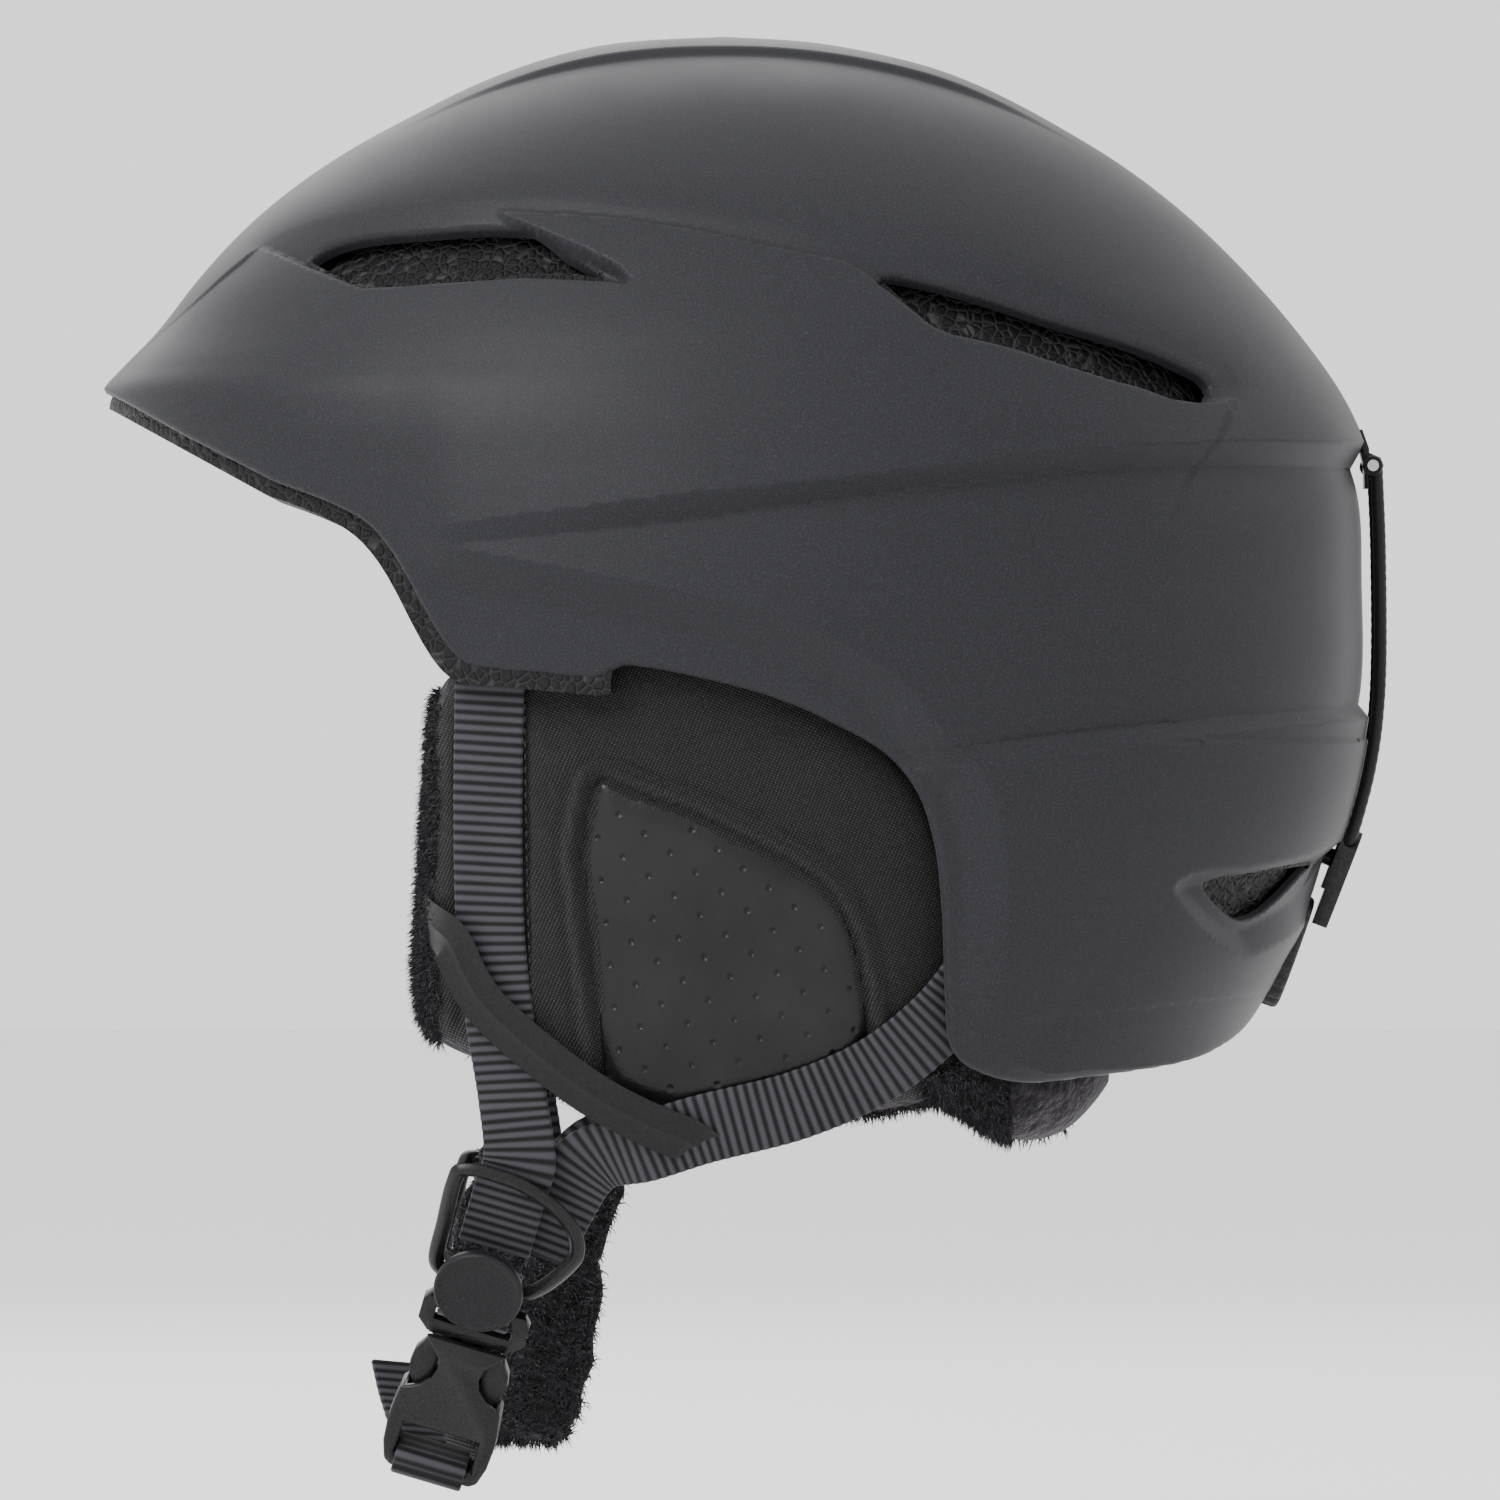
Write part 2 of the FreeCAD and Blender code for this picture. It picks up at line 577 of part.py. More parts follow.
BUCKLE_MID = 0.4                # the buckle's centre line, across the strap
BUCKLE_LOW = -1.0               # its back face
PLUG_BASE = (43.4, 46.6)
KNUCKLE_AT = (6.4, 48.2)        # each release arm's root, from the centre line
ARM_OUTLINE = [(4.9, 49.4), (5.6, 62.5), (6.8, 63.6), (8.6, 63.2), (9.1, 60.5), (10.4, 58.6), (11, 55.5),
               (10.6, 52.5), (9.2, 50.2), (8, 48.8), (6.4, 47.2)]


def across(points, flip=1):
    """Outline points about the buckle's centre line."""
    return [(BUCKLE_MID + flip * x, z) for x, z in points]


def make_plug():
    """The inner half of the buckle: strap bar, frame, base and the guide tongue."""
    low, high = size("ring_rise"), size("ring_rise") + size("ring_thick")
    half = size("buckle_wide") / 2
    outline = [(-half + 1.5, PLUG_BAR[0]), (half - 1.5, PLUG_BAR[0]), (half, 39), (half, 44),
               (9.4, PLUG_BASE[1]), (-9.4, PLUG_BASE[1]), (-half, 44), (-half, 39)]
    frame = plate(CHIN_FRAME, across(outline), low, high)
    window = plate(CHIN_FRAME, across([(-8.7, PLUG_BAR[1]), (8.7, PLUG_BAR[1]), (8.7, PLUG_BASE[0]),
                                       (-8.7, PLUG_BASE[0])]), low - 1, high + 1)
    lug = [(3.4, 46), (3.4, 48.6), (4.6, 49.2), (8.9, 48), (8.9, 46)]
    lugs = [plate(CHIN_FRAME, across(lug, s), low, high) for s in (1, -1)]
    tongue = plate(CHIN_FRAME, across([(-1.5, 46), (1.5, 46), (1.5, 60), (-1.5, 60)]), low + 0.5, high - 0.5)
    plug = frame.cut(window).multiFuse(lugs + [tongue])
    for s in (1, -1):
        x = BUCKLE_MID + s * KNUCKLE_AT[0]
        seat = size("knuckle_rad") + size("knuckle_play")
        plug = plug.cut(barrel(CHIN_FRAME, x, KNUCKLE_AT[1], seat, -2, 8))
        clear = [(3.7, 50.5), (5.2, 48.2), (6.4, 48.2), (7.6, 47), (11, 46.7), (11, 50.5)]
        plug = plug.cut(plate(CHIN_FRAME, across(clear, s), -2, 8))
    return plug.removeSplitter()


def make_arm(s):
    """A springy release arm with a finger pad, turning about a round root in the plug."""
    low = size("ring_rise") + 0.05
    high = low + size("arm_thick")
    arm = plate(CHIN_FRAME, across(ARM_OUTLINE, s), low, high)
    root_x, root_z = BUCKLE_MID + s * KNUCKLE_AT[0], KNUCKLE_AT[1]
    return arm.fuse(barrel(CHIN_FRAME, root_x, root_z, size("knuckle_rad"), low, high))


SOCKET_OUTLINE = [(9.2, 46.9), (7.2, 49.5), (5.2, 52), (4.7, 54.5), (5.4, 57), (7.6, 59.6), (11.3, 61.5),
                  (11.9, 66), (12.2, 70), (11.8, 76), (10.6, 80.4), (9, 81.6)]
SOCKET_WINDOW = (70, 78)        # the strap window below the socket's body, along the strap


def make_socket():
    """The outer half of the buckle: a flat case open at the top and waisted at the finger pads."""
    low, high = BUCKLE_LOW, BUCKLE_LOW + size("buckle_thick")
    outline = SOCKET_OUTLINE + [(-x, z) for x, z in SOCKET_OUTLINE[::-1]]
    case = plate(CHIN_FRAME, across(outline), low, high)
    gap_low, gap_high = size("ring_rise") - 0.1, size("ring_rise") + size("ring_thick") + 0.1
    cavity = [(-14, 40), (14, 40), (14, 59.2), (9.8, 60.2), (9.8, 66.6),
              (-9.8, 66.6), (-9.8, 60.2), (-14, 59.2)]
    hollow = plate(CHIN_FRAME, across(cavity), gap_low, gap_high)
    near, far = SOCKET_WINDOW
    window = [(-8.6, near), (8.6, near), (8.6, far), (-8.6, far)]
    window = plate(CHIN_FRAME, across(window), low - 1, high + 1)
    return case.cut(hollow).cut(window)


shape_node("buckle_plug", make_plug())
shape_node("release_arm_rear", make_arm(1))
shape_node("release_arm_front", make_arm(-1))
shape_node("buckle_socket", make_socket())

# ---------------------------------------------------------------- right-hand chin strap and pad

# The strap's middle line from the right divider's loop to the socket's loop, with its outward direction.
CHIN_LINE = [
    ((-53.7, -56.1, -136.9), (-0.86, -0.14, -0.49)), ((-48.5, -57, -145.5), (-0.81, -0.17, -0.56)),
    ((-38, -59, -157), (-0.68, -0.2, -0.7)), ((-24, -61.5, -166), (-0.48, -0.25, -0.84)),
    ((-8, -64, -171.3), (-0.24, -0.28, -0.93)), ((8, -66.2, -173), (-0.06, -0.285, -0.958)),
    ((18, -67.2, -173.2), (0.03, -0.285, -0.958)), ((28, -67.6, -172.6), (0.1, -0.285, -0.95)),
]
WRAP_PLAY = 0.3         # between the webbing and the bar it is sewn round
PAD_BACK = 5.0          # the chin pad's middle sits this far behind the strap's


def chin_stations(first, last, sink=0.0, back=0.0):
    """Part of the chin line, moved in towards the chin by sink and towards the neck by back."""
    stations = []
    for at, out in CHIN_LINE[first:last]:
        out = Vector(*out).normalize()
        stations.append((Vector(*at) - out * sink + Vector(0, back, 0), out))
    return stations


def upper_pad_stations():
    """The chin pad's upper part, inside the right-hand divider."""
    out = Vector(-OUTWARD[0], OUTWARD[1], OUTWARD[2])
    points = [chin_point(x, -8.9, z) for x, z in ((4, 2), (3, 17), (2, 31))]
    return [(Vector(-p.x, p.y, p.z), out) for p in points]


def make_socket_wrap():
    """The chin strap's sewn loop round the socket's bar."""
    web, play = size("web_thick"), WRAP_PLAY
    low, near, far = BUCKLE_LOW - play - web, 76.3, 83.4
    outer = made("Box", "wrap_outer", put(CHIN_FRAME, -size("web_wide") / 2, low, near),
                 Length="web_wide", Width="buckle_thick + 2 * web_thick + %g" % (2 * play),
                 Height="%g" % (far - near))
    inner = made("Box", "wrap_inner", put(CHIN_FRAME, -size("web_wide") / 2 - 1, low + web, near + web),
                 Length="web_wide + 2", Width="buckle_thick + %g" % (2 * play),
                 Height="%g - 2 * web_thick" % (far - near))
    return cut("wrap", outer, inner)


# The loose end of the strap, past the socket's loop.
TAIL_POINTS = [(27, -71, -163), (21.5, -73, -157), (17, -74.6, -150.5)]
TAIL_OUTWARD = (-0.42, -0.3, -0.85)

web = size("web_thick")
pad_wide, pad_thick = size("chin_pad_wide"), size("chin_pad_thick")
pad_line = chin_stations(0, 7, (web + pad_thick) / 2 + 0.2, PAD_BACK)
tail_line = [(Vector(*at), Vector(*TAIL_OUTWARD)) for at in TAIL_POINTS]
shape_node("right_divider_loop", mirrored(make_buckle_strap(LOW_BAR[1] + 0.2)))
shape_node("chin_strap", lofted_strap(chin_stations(0, 8), size("web_wide"), web))
shape_node("chin_pad_upper", lofted_strap(upper_pad_stations(), pad_wide, pad_thick - 1))
shape_node("chin_pad_lower", lofted_strap(pad_line, pad_wide, pad_thick))
node(make_socket_wrap(), "socket_strap_wrap")
shape_node("strap_tail", lofted_strap(tail_line, size("web_wide") - 3, web))

# ---------------------------------------------------------------- fit dial, housing and bands

def make_dial():
    """A turning knob with grip scallops round its rim, and its shaft, as a PartDesign body."""
    body = doc.addObject("PartDesign::Body", "dial_body")
    roles = {feature.Role: feature for feature in body.Origin.OriginFeatures}

    def disc(kind, name, radius, depth, at=0.0):
        """A circle on the XZ plane, padded or pocketed in along -Y."""
        sketch = body.newObject("Sketcher::SketchObject", name + "_sketch")
        sketch.AttachmentSupport = (roles["XZ_Plane"], [""])
        sketch.MapMode = "FlatFace"
        sketch.addGeometry(Part.Circle(Vector(at, 0, 0), Vector(0, 0, 1), 5), False)
        if at:
            sketch.addConstraint(Sketcher.Constraint("PointOnObject", 0, 3, -1))
            sketch.addConstraint(Sketcher.Constraint("DistanceX", -1, 1, 0, 3, at))
        else:
            sketch.addConstraint(Sketcher.Constraint("Coincident", 0, 3, -1, 1))
        last = sketch.addConstraint(Sketcher.Constraint("Radius", 0, 5))
        sketch.setExpression("Constraints[%d]" % last, "<<sizes>>." + radius)
        feature = body.newObject("PartDesign::" + kind, name)
        feature.Profile = sketch
        feature.setExpression("Length", "<<sizes>>." + depth)
        feature.Reversed = kind == "Pocket"
        doc.recompute()
        return feature

    disc("Pad", "knob", "dial_rad", "dial_thick")
    disc("Pad", "shaft", "shaft_rad", "shaft_long")
    whole = body.Shape.Volume
    scallop = disc("Pocket", "scallop", "rib_rad", "dial_thick", size("dial_rad") + 0.35)
    grip = body.newObject("PartDesign::PolarPattern", "grip")
    grip.Originals = [scallop]
    grip.Axis = (roles["Y_Axis"], [""])
    grip.Angle = 360
    grip.setExpression("Occurrences", "<<sizes>>.dial_ribs")
    body.Tip = grip
    body.Placement = DIAL_FRAME
    doc.recompute()
    print("the grip's scallops take", round(whole - body.Shape.Volume, 1), "mm3")
    if whole - body.Shape.Volume < 20:
        raise RuntimeError("the dial's scallops cut nothing")
    return body


CASE_FRONT = -12.0              # the housing's front face along the dial's axis
RACK_MID = -17.4                # the pinion's middle along the dial's axis
TOOTH_PITCH = 2 * math.pi * size("pinion_rad") / size("pinion_teeth")


def make_pinion():
    """The toothed wheel on the dial's shaft, with one tooth straight up."""
    root, tip = size("pinion_rad") - size("tooth_tall"), size("pinion_rad") + size("tooth_tall") - 0.1
    low, high = RACK_MID - size("pinion_thick") / 2, RACK_MID + size("pinion_thick") / 2
    wheel = Part.makeCylinder(root, high - low, Vector(0, low, 0), Vector(0, 1, 0))
    teeth = []
    for i in range(int(size("pinion_teeth"))):
        tooth = Part.Face(Part.makePolygon([Vector(x, low, z) for x, z in (
            (-0.95, root - 0.6), (-0.33, tip), (0.33, tip), (0.95, root - 0.6), (-0.95, root - 0.6))]))
        tooth = tooth.extrude(Vector(0, high - low, 0))
        tooth.rotate(Vector(0, 0, 0), Vector(0, 1, 0), 360.0 * i / size("pinion_teeth"))
        teeth.append(tooth)
    bore = Part.makeCylinder(size("shaft_rad"), 10, Vector(0, low - 2, 0), Vector(0, 1, 0))
    wheel = wheel.multiFuse(teeth).cut(bore)
    wheel.Placement = DIAL_FRAME
    return wheel


# The band's line past the housing: along X, and forward of the rack.
BAND_PATH = [(24, 0), (38, -3.6), (52, -11), (63, -21), (70, -31), (74, -42)]


def make_band(left):
    """A nylon fit band: a toothed rack through the housing, then a strap round the back of the head."""
    flip, up = (1, -1) if left else (-1, 1)
    reach = size("pinion_rad") + size("tooth_tall") + 0.15      # the rack's root line
    half = size("rack_thick") / 2
    bar = Part.makeBox(38, size("rack_thick"), size("rack_tall"), Vector(-13, RACK_MID - half, reach))
    teeth = []
    for i in range(-4, 8):
        mid = (i + 0.5) * TOOTH_PITCH
        tooth = Part.Face(Part.makePolygon([Vector(mid + x, RACK_MID - half, z) for x, z in (
            (-0.72, reach + 0.3), (-0.2, reach - 2 * size("tooth_tall") + 0.35),
            (0.2, reach - 2 * size("tooth_tall") + 0.35), (0.72, reach + 0.3), (-0.72, reach + 0.3))]))
        teeth.append(tooth.extrude(Vector(0, size("rack_thick"), 0)))
    path = [Vector(x, RACK_MID - half + y, 0) for x, y in BAND_PATH]
    curve, back = Part.BSplineCurve(), Part.BSplineCurve()
    curve.interpolate(Points=path, InitialTangent=Vector(1, 0, 0), FinalTangent=Vector(0.1, -1, 0))
    back.interpolate(Points=[p + Vector(size("rack_thick") * i / 5, size("rack_thick") * (1 - i / 5), 0)
                             for i, p in enumerate(path)],
                     InitialTangent=Vector(1, 0, 0), FinalTangent=Vector(0.1, -1, 0))
    a, b = curve.toShape(), back.toShape()
    wire = Part.Wire(Part.__sortEdges__([
        a, Part.LineSegment(a.Vertexes[-1].Point, b.Vertexes[-1].Point).toShape(),
        b, Part.LineSegment(b.Vertexes[0].Point, a.Vertexes[0].Point).toShape()]))
    strap = Part.Face(wire).extrude(Vector(0, 0, size("rack_tall") + 0.001))
    strap.translate(Vector(0, 0, reach))
    band = bar.multiFuse(teeth + [strap])
    if not left:
        band = band.mirror(Vector(0, 0, 0), Vector(1, 0, 0))
    else:
        band = band.mirror(Vector(0, 0, 0), Vector(0, 0, 1))
    band.Placement = DIAL_FRAME.multiply(band.Placement)
    return band


def make_case():
    """The fit system's housing: front and back plates, top and bottom walls, open at both ends."""
    half, tall, wall = size("case_wide") / 2, size("case_tall") / 2, size("case_wall")
    back = CASE_FRONT - size("case_deep")
    solid = made("Box", "case_block", put(DIAL_FRAME, -half, back, -tall),
                 Length="case_wide", Width="case_deep", Height="case_tall")
    solid = rounded("case", solid, 5, lambda edge: abs(edge.Length - size("case_deep")) < 1e-6)
    hollow = made("Box", "case_hollow", put(DIAL_FRAME, -half - 1, back + wall, -tall + wall),
                  Length="case_wide + 2", Width="case_deep - 2 * case_wall",
                  Height="case_tall - 2 * case_wall")
    bore = made("Cylinder", "case_bore", rod_in(DIAL_FRAME, 0, back - 1, 0),
                Radius="shaft_rad + shaft_play", Height="case_deep + 2")
    return cut("case", solid, hollow, bore)


node(make_dial(), "fit_dial")
shape_node("dial_pinion", make_pinion())
node(make_case(), "fit_housing")
shape_node("fit_band_left", make_band(True))
shape_node("fit_band_right", make_band(False))
NAPE_GAP = 0.6          # between the housing and its pad
nape_back = CASE_FRONT - size("case_deep") - NAPE_GAP - size("nape_pad_thick")
nape_corner = put(DIAL_FRAME, -size("nape_pad_wide") / 2, nape_back, -size("nape_pad_tall") / 2)
node(made("Box", "nape_block", nape_corner, Length="nape_pad_wide", Width="nape_pad_thick",
          Height="nape_pad_tall"), "nape_pad")

# ---------------------------------------------------------------- goggle strap holder

HOLDER_PIN = (0, 140.2, 47.2)   # the holder's hinge, on the shell's upper rear ridge


def rod_x(x_low, x_high, y, z, radius):
    return Part.makeCylinder(radius, x_high - x_low, Vector(x_low, y, z), Vector(1, 0, 0))


FOOT_OUTLINE = [(138.6, 42.2), (138.5, 47), (137.6, 51), (136.4, 55.2), (138, 55.2), (139.5, 51),
                (139.5, 42.2)]
EAR_OUTLINE = [(138.6, 44.2), (140.2, 44.5), (142, 45.3), (142.7, 47.2), (142, 49), (140.2, 49.8),
               (138.6, 50.4)]


def slab_x(points, x_low, x_high):
    """An outline seen from the side, thick along X."""
    face = Part.Face(Part.makePolygon([Vector(x_low, y, z) for y, z in points + points[:1]]))
    return face.extrude(Vector(x_high - x_low, 0, 0))


def make_bracket():
    """A moulded bracket on the shell's rear ridge with two ears for the hinge pin."""
    ears = [slab_x(EAR_OUTLINE, x, x + 2.6) for x in (-8.6, 6)]
    bracket = slab_x(FOOT_OUTLINE, -8.6, 8.6).multiFuse(ears)
    return bracket.cut(rod_x(-20, 20, HOLDER_PIN[1], HOLDER_PIN[2], size("pin_rad")))


CORD_END = STUD_FRAME.multVec(Vector(0, 2.15, 5))       # the cord's turn inside the tab
PINCH = 0.72            # how much nearer to each other the cord's two runs are at the tab


def cord_path(x):
    """The elastic cord's line down one side of the loop, from the hinge to the tab."""
    return [Vector(x, HOLDER_PIN[1] + 0.8, HOLDER_PIN[2] - 2), Vector(x, 141.7, 28), Vector(x, 141.5, -4),
            Vector(x, 139.4, -20), Vector(x * PINCH, CORD_END.y, CORD_END.z)]


def rounded_path(points):
    """Straight runs joined by tangent arcs, as large as their runs allow, and the arcs' radii."""
    edges, radii, start = [], [], points[0]
    for i in range(1, len(points) - 1):
        before, at, after = points[i - 1], points[i], points[i + 1]
        a, b = (before - at), (after - at)
        turn = math.pi - a.getAngle(b)
        shorter = min(a.Length, b.Length)
        trim = 0.45 * shorter
        one, two = at + a.normalize() * trim, at + b.normalize() * trim
        radius = trim / math.tan(turn / 2)
        radii.append(radius)
        centre = at + (a + b).normalize() * math.hypot(radius, trim)
        inside = centre + (at - centre).normalize() * radius
        edges += [Part.LineSegment(start, one).toShape(), Part.Arc(one, inside, two).toShape()]
        start = two
    edges.append(Part.LineSegment(start, points[-1]).toShape())
    return Part.Wire(edges), radii


def tube(points, radius):
    path, radii = rounded_path(points)
    ring_wire = Part.Wire([Part.makeCircle(radius, points[0], points[1] - points[0])])
    solid = path.makePipeShell([ring_wire], True, True)
    expected = math.pi * radius**2 * path.Length
    print("cord arcs of radius", [round(r, 1) for r in radii], "mm; tube", round(solid.Volume, 1),
          "mm3, section times length", round(expected, 1), "mm3")
    if abs(solid.Volume / expected - 1) > 0.01:
        raise RuntimeError("the cord's tube has the wrong volume")
    return solid


def make_cord():
    """The doubled elastic cord: two runs, joined by the hinge sleeve at the top."""
    half, y, z = size("cord_half"), HOLDER_PIN[1], HOLDER_PIN[2]
    runs = [tube(cord_path(s * half), size("cord_rad")) for s in (1, -1)]
    arms = [rod_x(x, x + 3.6, y, z, 2.2) for x in (-half - 1.8, half - 1.8)]
    low = cord_path(half)[-1]
    bight = rod_x(-low.x, low.x, low.y, low.z, size("cord_rad"))
    knuckles = [Part.makeSphere(size("cord_rad"), Vector(s * low.x, low.y, low.z)) for s in (1, -1)]
    cord = runs[0].multiFuse(runs[1:] + arms + [bight] + knuckles)
    return cord.cut(rod_x(-20, 20, y, z, size("pin_rad") + size("pin_play")))


TAB_OUTLINE = [(-7, 7.4), (-9.6, 5.6), (-9.6, 2), (-7.8, -11), (-5, -15), (5, -15), (7.8, -11),
               (9.6, 2), (9.6, 5.6), (7, 7.4)]


def make_tab():
    """The pull tab at the cord's lower end, with the snap's socket behind it."""
    tab = plate(STUD_FRAME, TAB_OUTLINE, 0.2, 4.3)
    snap = barrel(STUD_FRAME, 0, 0, size("stud_rad") + size("stud_play"), -1, 3.3)
    over_dial = block(STUD_FRAME, (-20, -1, -30), (20, 1.1, -7))
    tunnel = rod_x(-20, 20, CORD_END.y, CORD_END.z, size("cord_rad") + 0.1)
    mouths = [tube(cord_path(side * size("cord_half")), size("cord_rad") + 0.1) for side in (1, -1)]
    return tab.cut([snap, over_dial, tunnel] + mouths)


def make_stud():
    """The snap stud: a head outside the shell, a stem through it and a flange behind."""
    front, back = rod_in(STUD_FRAME, 0, 0.1, 0), rod_in(STUD_FRAME, 0, STUD_BACK, 0)
    head = made("Cylinder", "stud_head", front, Radius="stud_rad", Height="stud_tall")
    stem = made("Cylinder", "stud_stem", back, Radius="post_rad", Height="stem_long")
    flange = made("Cylinder", "stud_flange", back, Radius="flange_rad", Height="flange_thick")
    return fuse("stud", head, stem, flange)


shape_node("holder_bracket", make_bracket())
pin_start = Placement(Vector(-size("pin_long") / 2, HOLDER_PIN[1], HOLDER_PIN[2]),
                      Rotation(Vector(0, 1, 0), 90))
node(made("Cylinder", "pin_rod", pin_start, Radius="pin_rad", Height="pin_long"), "holder_pin")
shape_node("goggle_cord", make_cord())
shape_node("goggle_tab", make_tab())
node(make_stud(), "snap_stud")

# ---------------------------------------------------------------- check and write

doc.recompute()
for obj in doc.Objects:
    if "Invalid" in obj.State or "Error" in obj.State:
        raise RuntimeError("%s failed: %s" % (obj.Name, obj.State))
os.makedirs("parts", exist_ok=True)
for obj in NODES:
    shape = obj.Shape
    if shape.isNull() or not shape.isValid() or not shape.Solids:
        raise RuntimeError("%s has no valid solid" % obj.Label)
    print("%-22s %d solid(s) %9.1f mm3" % (obj.Label, len(shape.Solids), shape.Volume))
    shape.exportStep("parts/%s.step" % obj.Label)
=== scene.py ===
import json
import math
import bmesh
import bpy
import numpy as np
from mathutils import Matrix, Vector


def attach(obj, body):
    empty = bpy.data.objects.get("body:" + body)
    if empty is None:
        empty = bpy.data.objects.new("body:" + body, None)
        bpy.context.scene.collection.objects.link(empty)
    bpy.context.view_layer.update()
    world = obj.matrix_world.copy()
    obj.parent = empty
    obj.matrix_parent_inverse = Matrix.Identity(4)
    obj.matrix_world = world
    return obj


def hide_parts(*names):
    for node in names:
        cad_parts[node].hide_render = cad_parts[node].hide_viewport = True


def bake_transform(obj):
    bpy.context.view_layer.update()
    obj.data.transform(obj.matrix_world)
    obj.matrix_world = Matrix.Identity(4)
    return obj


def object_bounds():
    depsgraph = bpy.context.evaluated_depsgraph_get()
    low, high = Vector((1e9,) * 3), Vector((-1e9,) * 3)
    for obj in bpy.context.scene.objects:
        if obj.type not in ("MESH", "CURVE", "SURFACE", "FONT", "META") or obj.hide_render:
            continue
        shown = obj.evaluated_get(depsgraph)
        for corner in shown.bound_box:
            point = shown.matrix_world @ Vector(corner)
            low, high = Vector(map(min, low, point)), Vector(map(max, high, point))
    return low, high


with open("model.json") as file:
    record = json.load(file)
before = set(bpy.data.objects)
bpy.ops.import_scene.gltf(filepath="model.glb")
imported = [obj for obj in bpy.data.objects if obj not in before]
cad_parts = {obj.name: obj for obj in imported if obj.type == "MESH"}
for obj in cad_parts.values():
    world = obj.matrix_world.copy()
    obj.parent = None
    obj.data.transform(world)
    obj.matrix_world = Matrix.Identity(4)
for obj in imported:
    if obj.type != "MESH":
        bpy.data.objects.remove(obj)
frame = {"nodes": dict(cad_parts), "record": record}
cad_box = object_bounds()
MM = 0.001
BODY_OF = {name: body for body, names in frame["record"]["behaviour"]["bodies"].items() for name in names}
SLOT_OF = {part["node"]: part["material_slot"] for part in frame["record"]["subparts"]}

# ------------------------------------------------------------------ helmet surface
# Height, front and rear on the centre line, half width, in millimetres; +Y is the back.
LEVELS = np.array([
    (-125, -105, 88, 78), (-100, -110, 100, 88), (-77, -115, 111, 96), (-56, -119, 123.5, 101),
    (-30, -124, 134.5, 106), (-7, -129, 138.5, 108.5), (20, -134, 138.5, 109), (45, -139, 137.8, 107),
    (57, -141, 134.5, 104.5), (64, -140, 131, 102.3), (69, -135.5, 127.8, 100.4), (75, -129.5, 123.5, 98),
    (88.4, -118.5, 112.5, 90), (101.7, -105.6, 99.2, 80), (114.9, -88.2, 82, 66.5), (127.1, -65.4, 59, 49),
    (133.7, -48, 40.2, 34.5), (138.1, -28.7, 19.7, 19),
])
CROWN = (-3.0, 139.9)
PLAN_POWER = 2.25
WIDEST = 0.53


def spline(x, xs, ys):
    """Cubic Hermite interpolation with Catmull-Rom slopes."""
    xs, ys = np.asarray(xs, float), np.asarray(ys, float)
    steps = np.diff(ys) / np.diff(xs)
    slopes = np.empty_like(ys)
    slopes[1:-1] = (steps[:-1] * np.diff(xs)[1:] + steps[1:] * np.diff(xs)[:-1]) / (xs[2:] - xs[:-2])
    slopes[0], slopes[-1] = steps[0], steps[-1]
    i = np.clip(np.searchsorted(xs, x) - 1, 0, len(xs) - 2)
    span = xs[i + 1] - xs[i]
    t = (x - xs[i]) / span
    a, b = ys[i], ys[i + 1]
    m, n = slopes[i] * span, slopes[i + 1] * span
    rise = (2 * t**3 - 3 * t**2 + 1) * a + (t**3 - 2 * t**2 + t) * m
    return rise + (3 * t**2 - 2 * t**3) * b + (t**3 - t**2) * n


def smooth(x, low=0.0, high=1.0):
    t = np.clip((x - low) / (high - low), 0, 1)
    return t * t * (3 - 2 * t)


def unit(v):
    v = np.asarray(v, float)
    return v / np.maximum(np.linalg.norm(v, axis=-1, keepdims=True), 1e-12)


LEVEL_REACH = (LEVELS[:, 3] + (LEVELS[:, 2] - LEVELS[:, 1]) / 2) / 2
RUN = np.concatenate([[0], np.cumsum(np.hypot(np.diff(LEVELS[:, 0]), np.diff(LEVEL_REACH)))])
TOP_RUN = RUN[-1] + 20.5


def level_at(run):
    """Height, front, rear and half width a distance up the helmet's side."""
    ends = [CROWN[1], CROWN[0], CROWN[0], 0.0]
    stops = np.append(RUN, TOP_RUN)
    out = [spline(run, stops, np.append(LEVELS[:, k], ends[k])) for k in range(4)]
    out[3] = np.maximum(out[3], 0)
    return out


def plan_point(level, turn):
    z, front, rear, half = level
    c, s = np.cos(turn), np.sin(turn)
    middle = front + WIDEST * (rear - front)
    reach = np.where(c > 0, rear - middle, middle - front)
    x = half * np.sign(s) * np.abs(s) ** (2 / PLAN_POWER)
    y = middle + reach * np.sign(c) * np.abs(c) ** (2 / PLAN_POWER)
    return np.stack([x, y, z + 0 * x], -1)


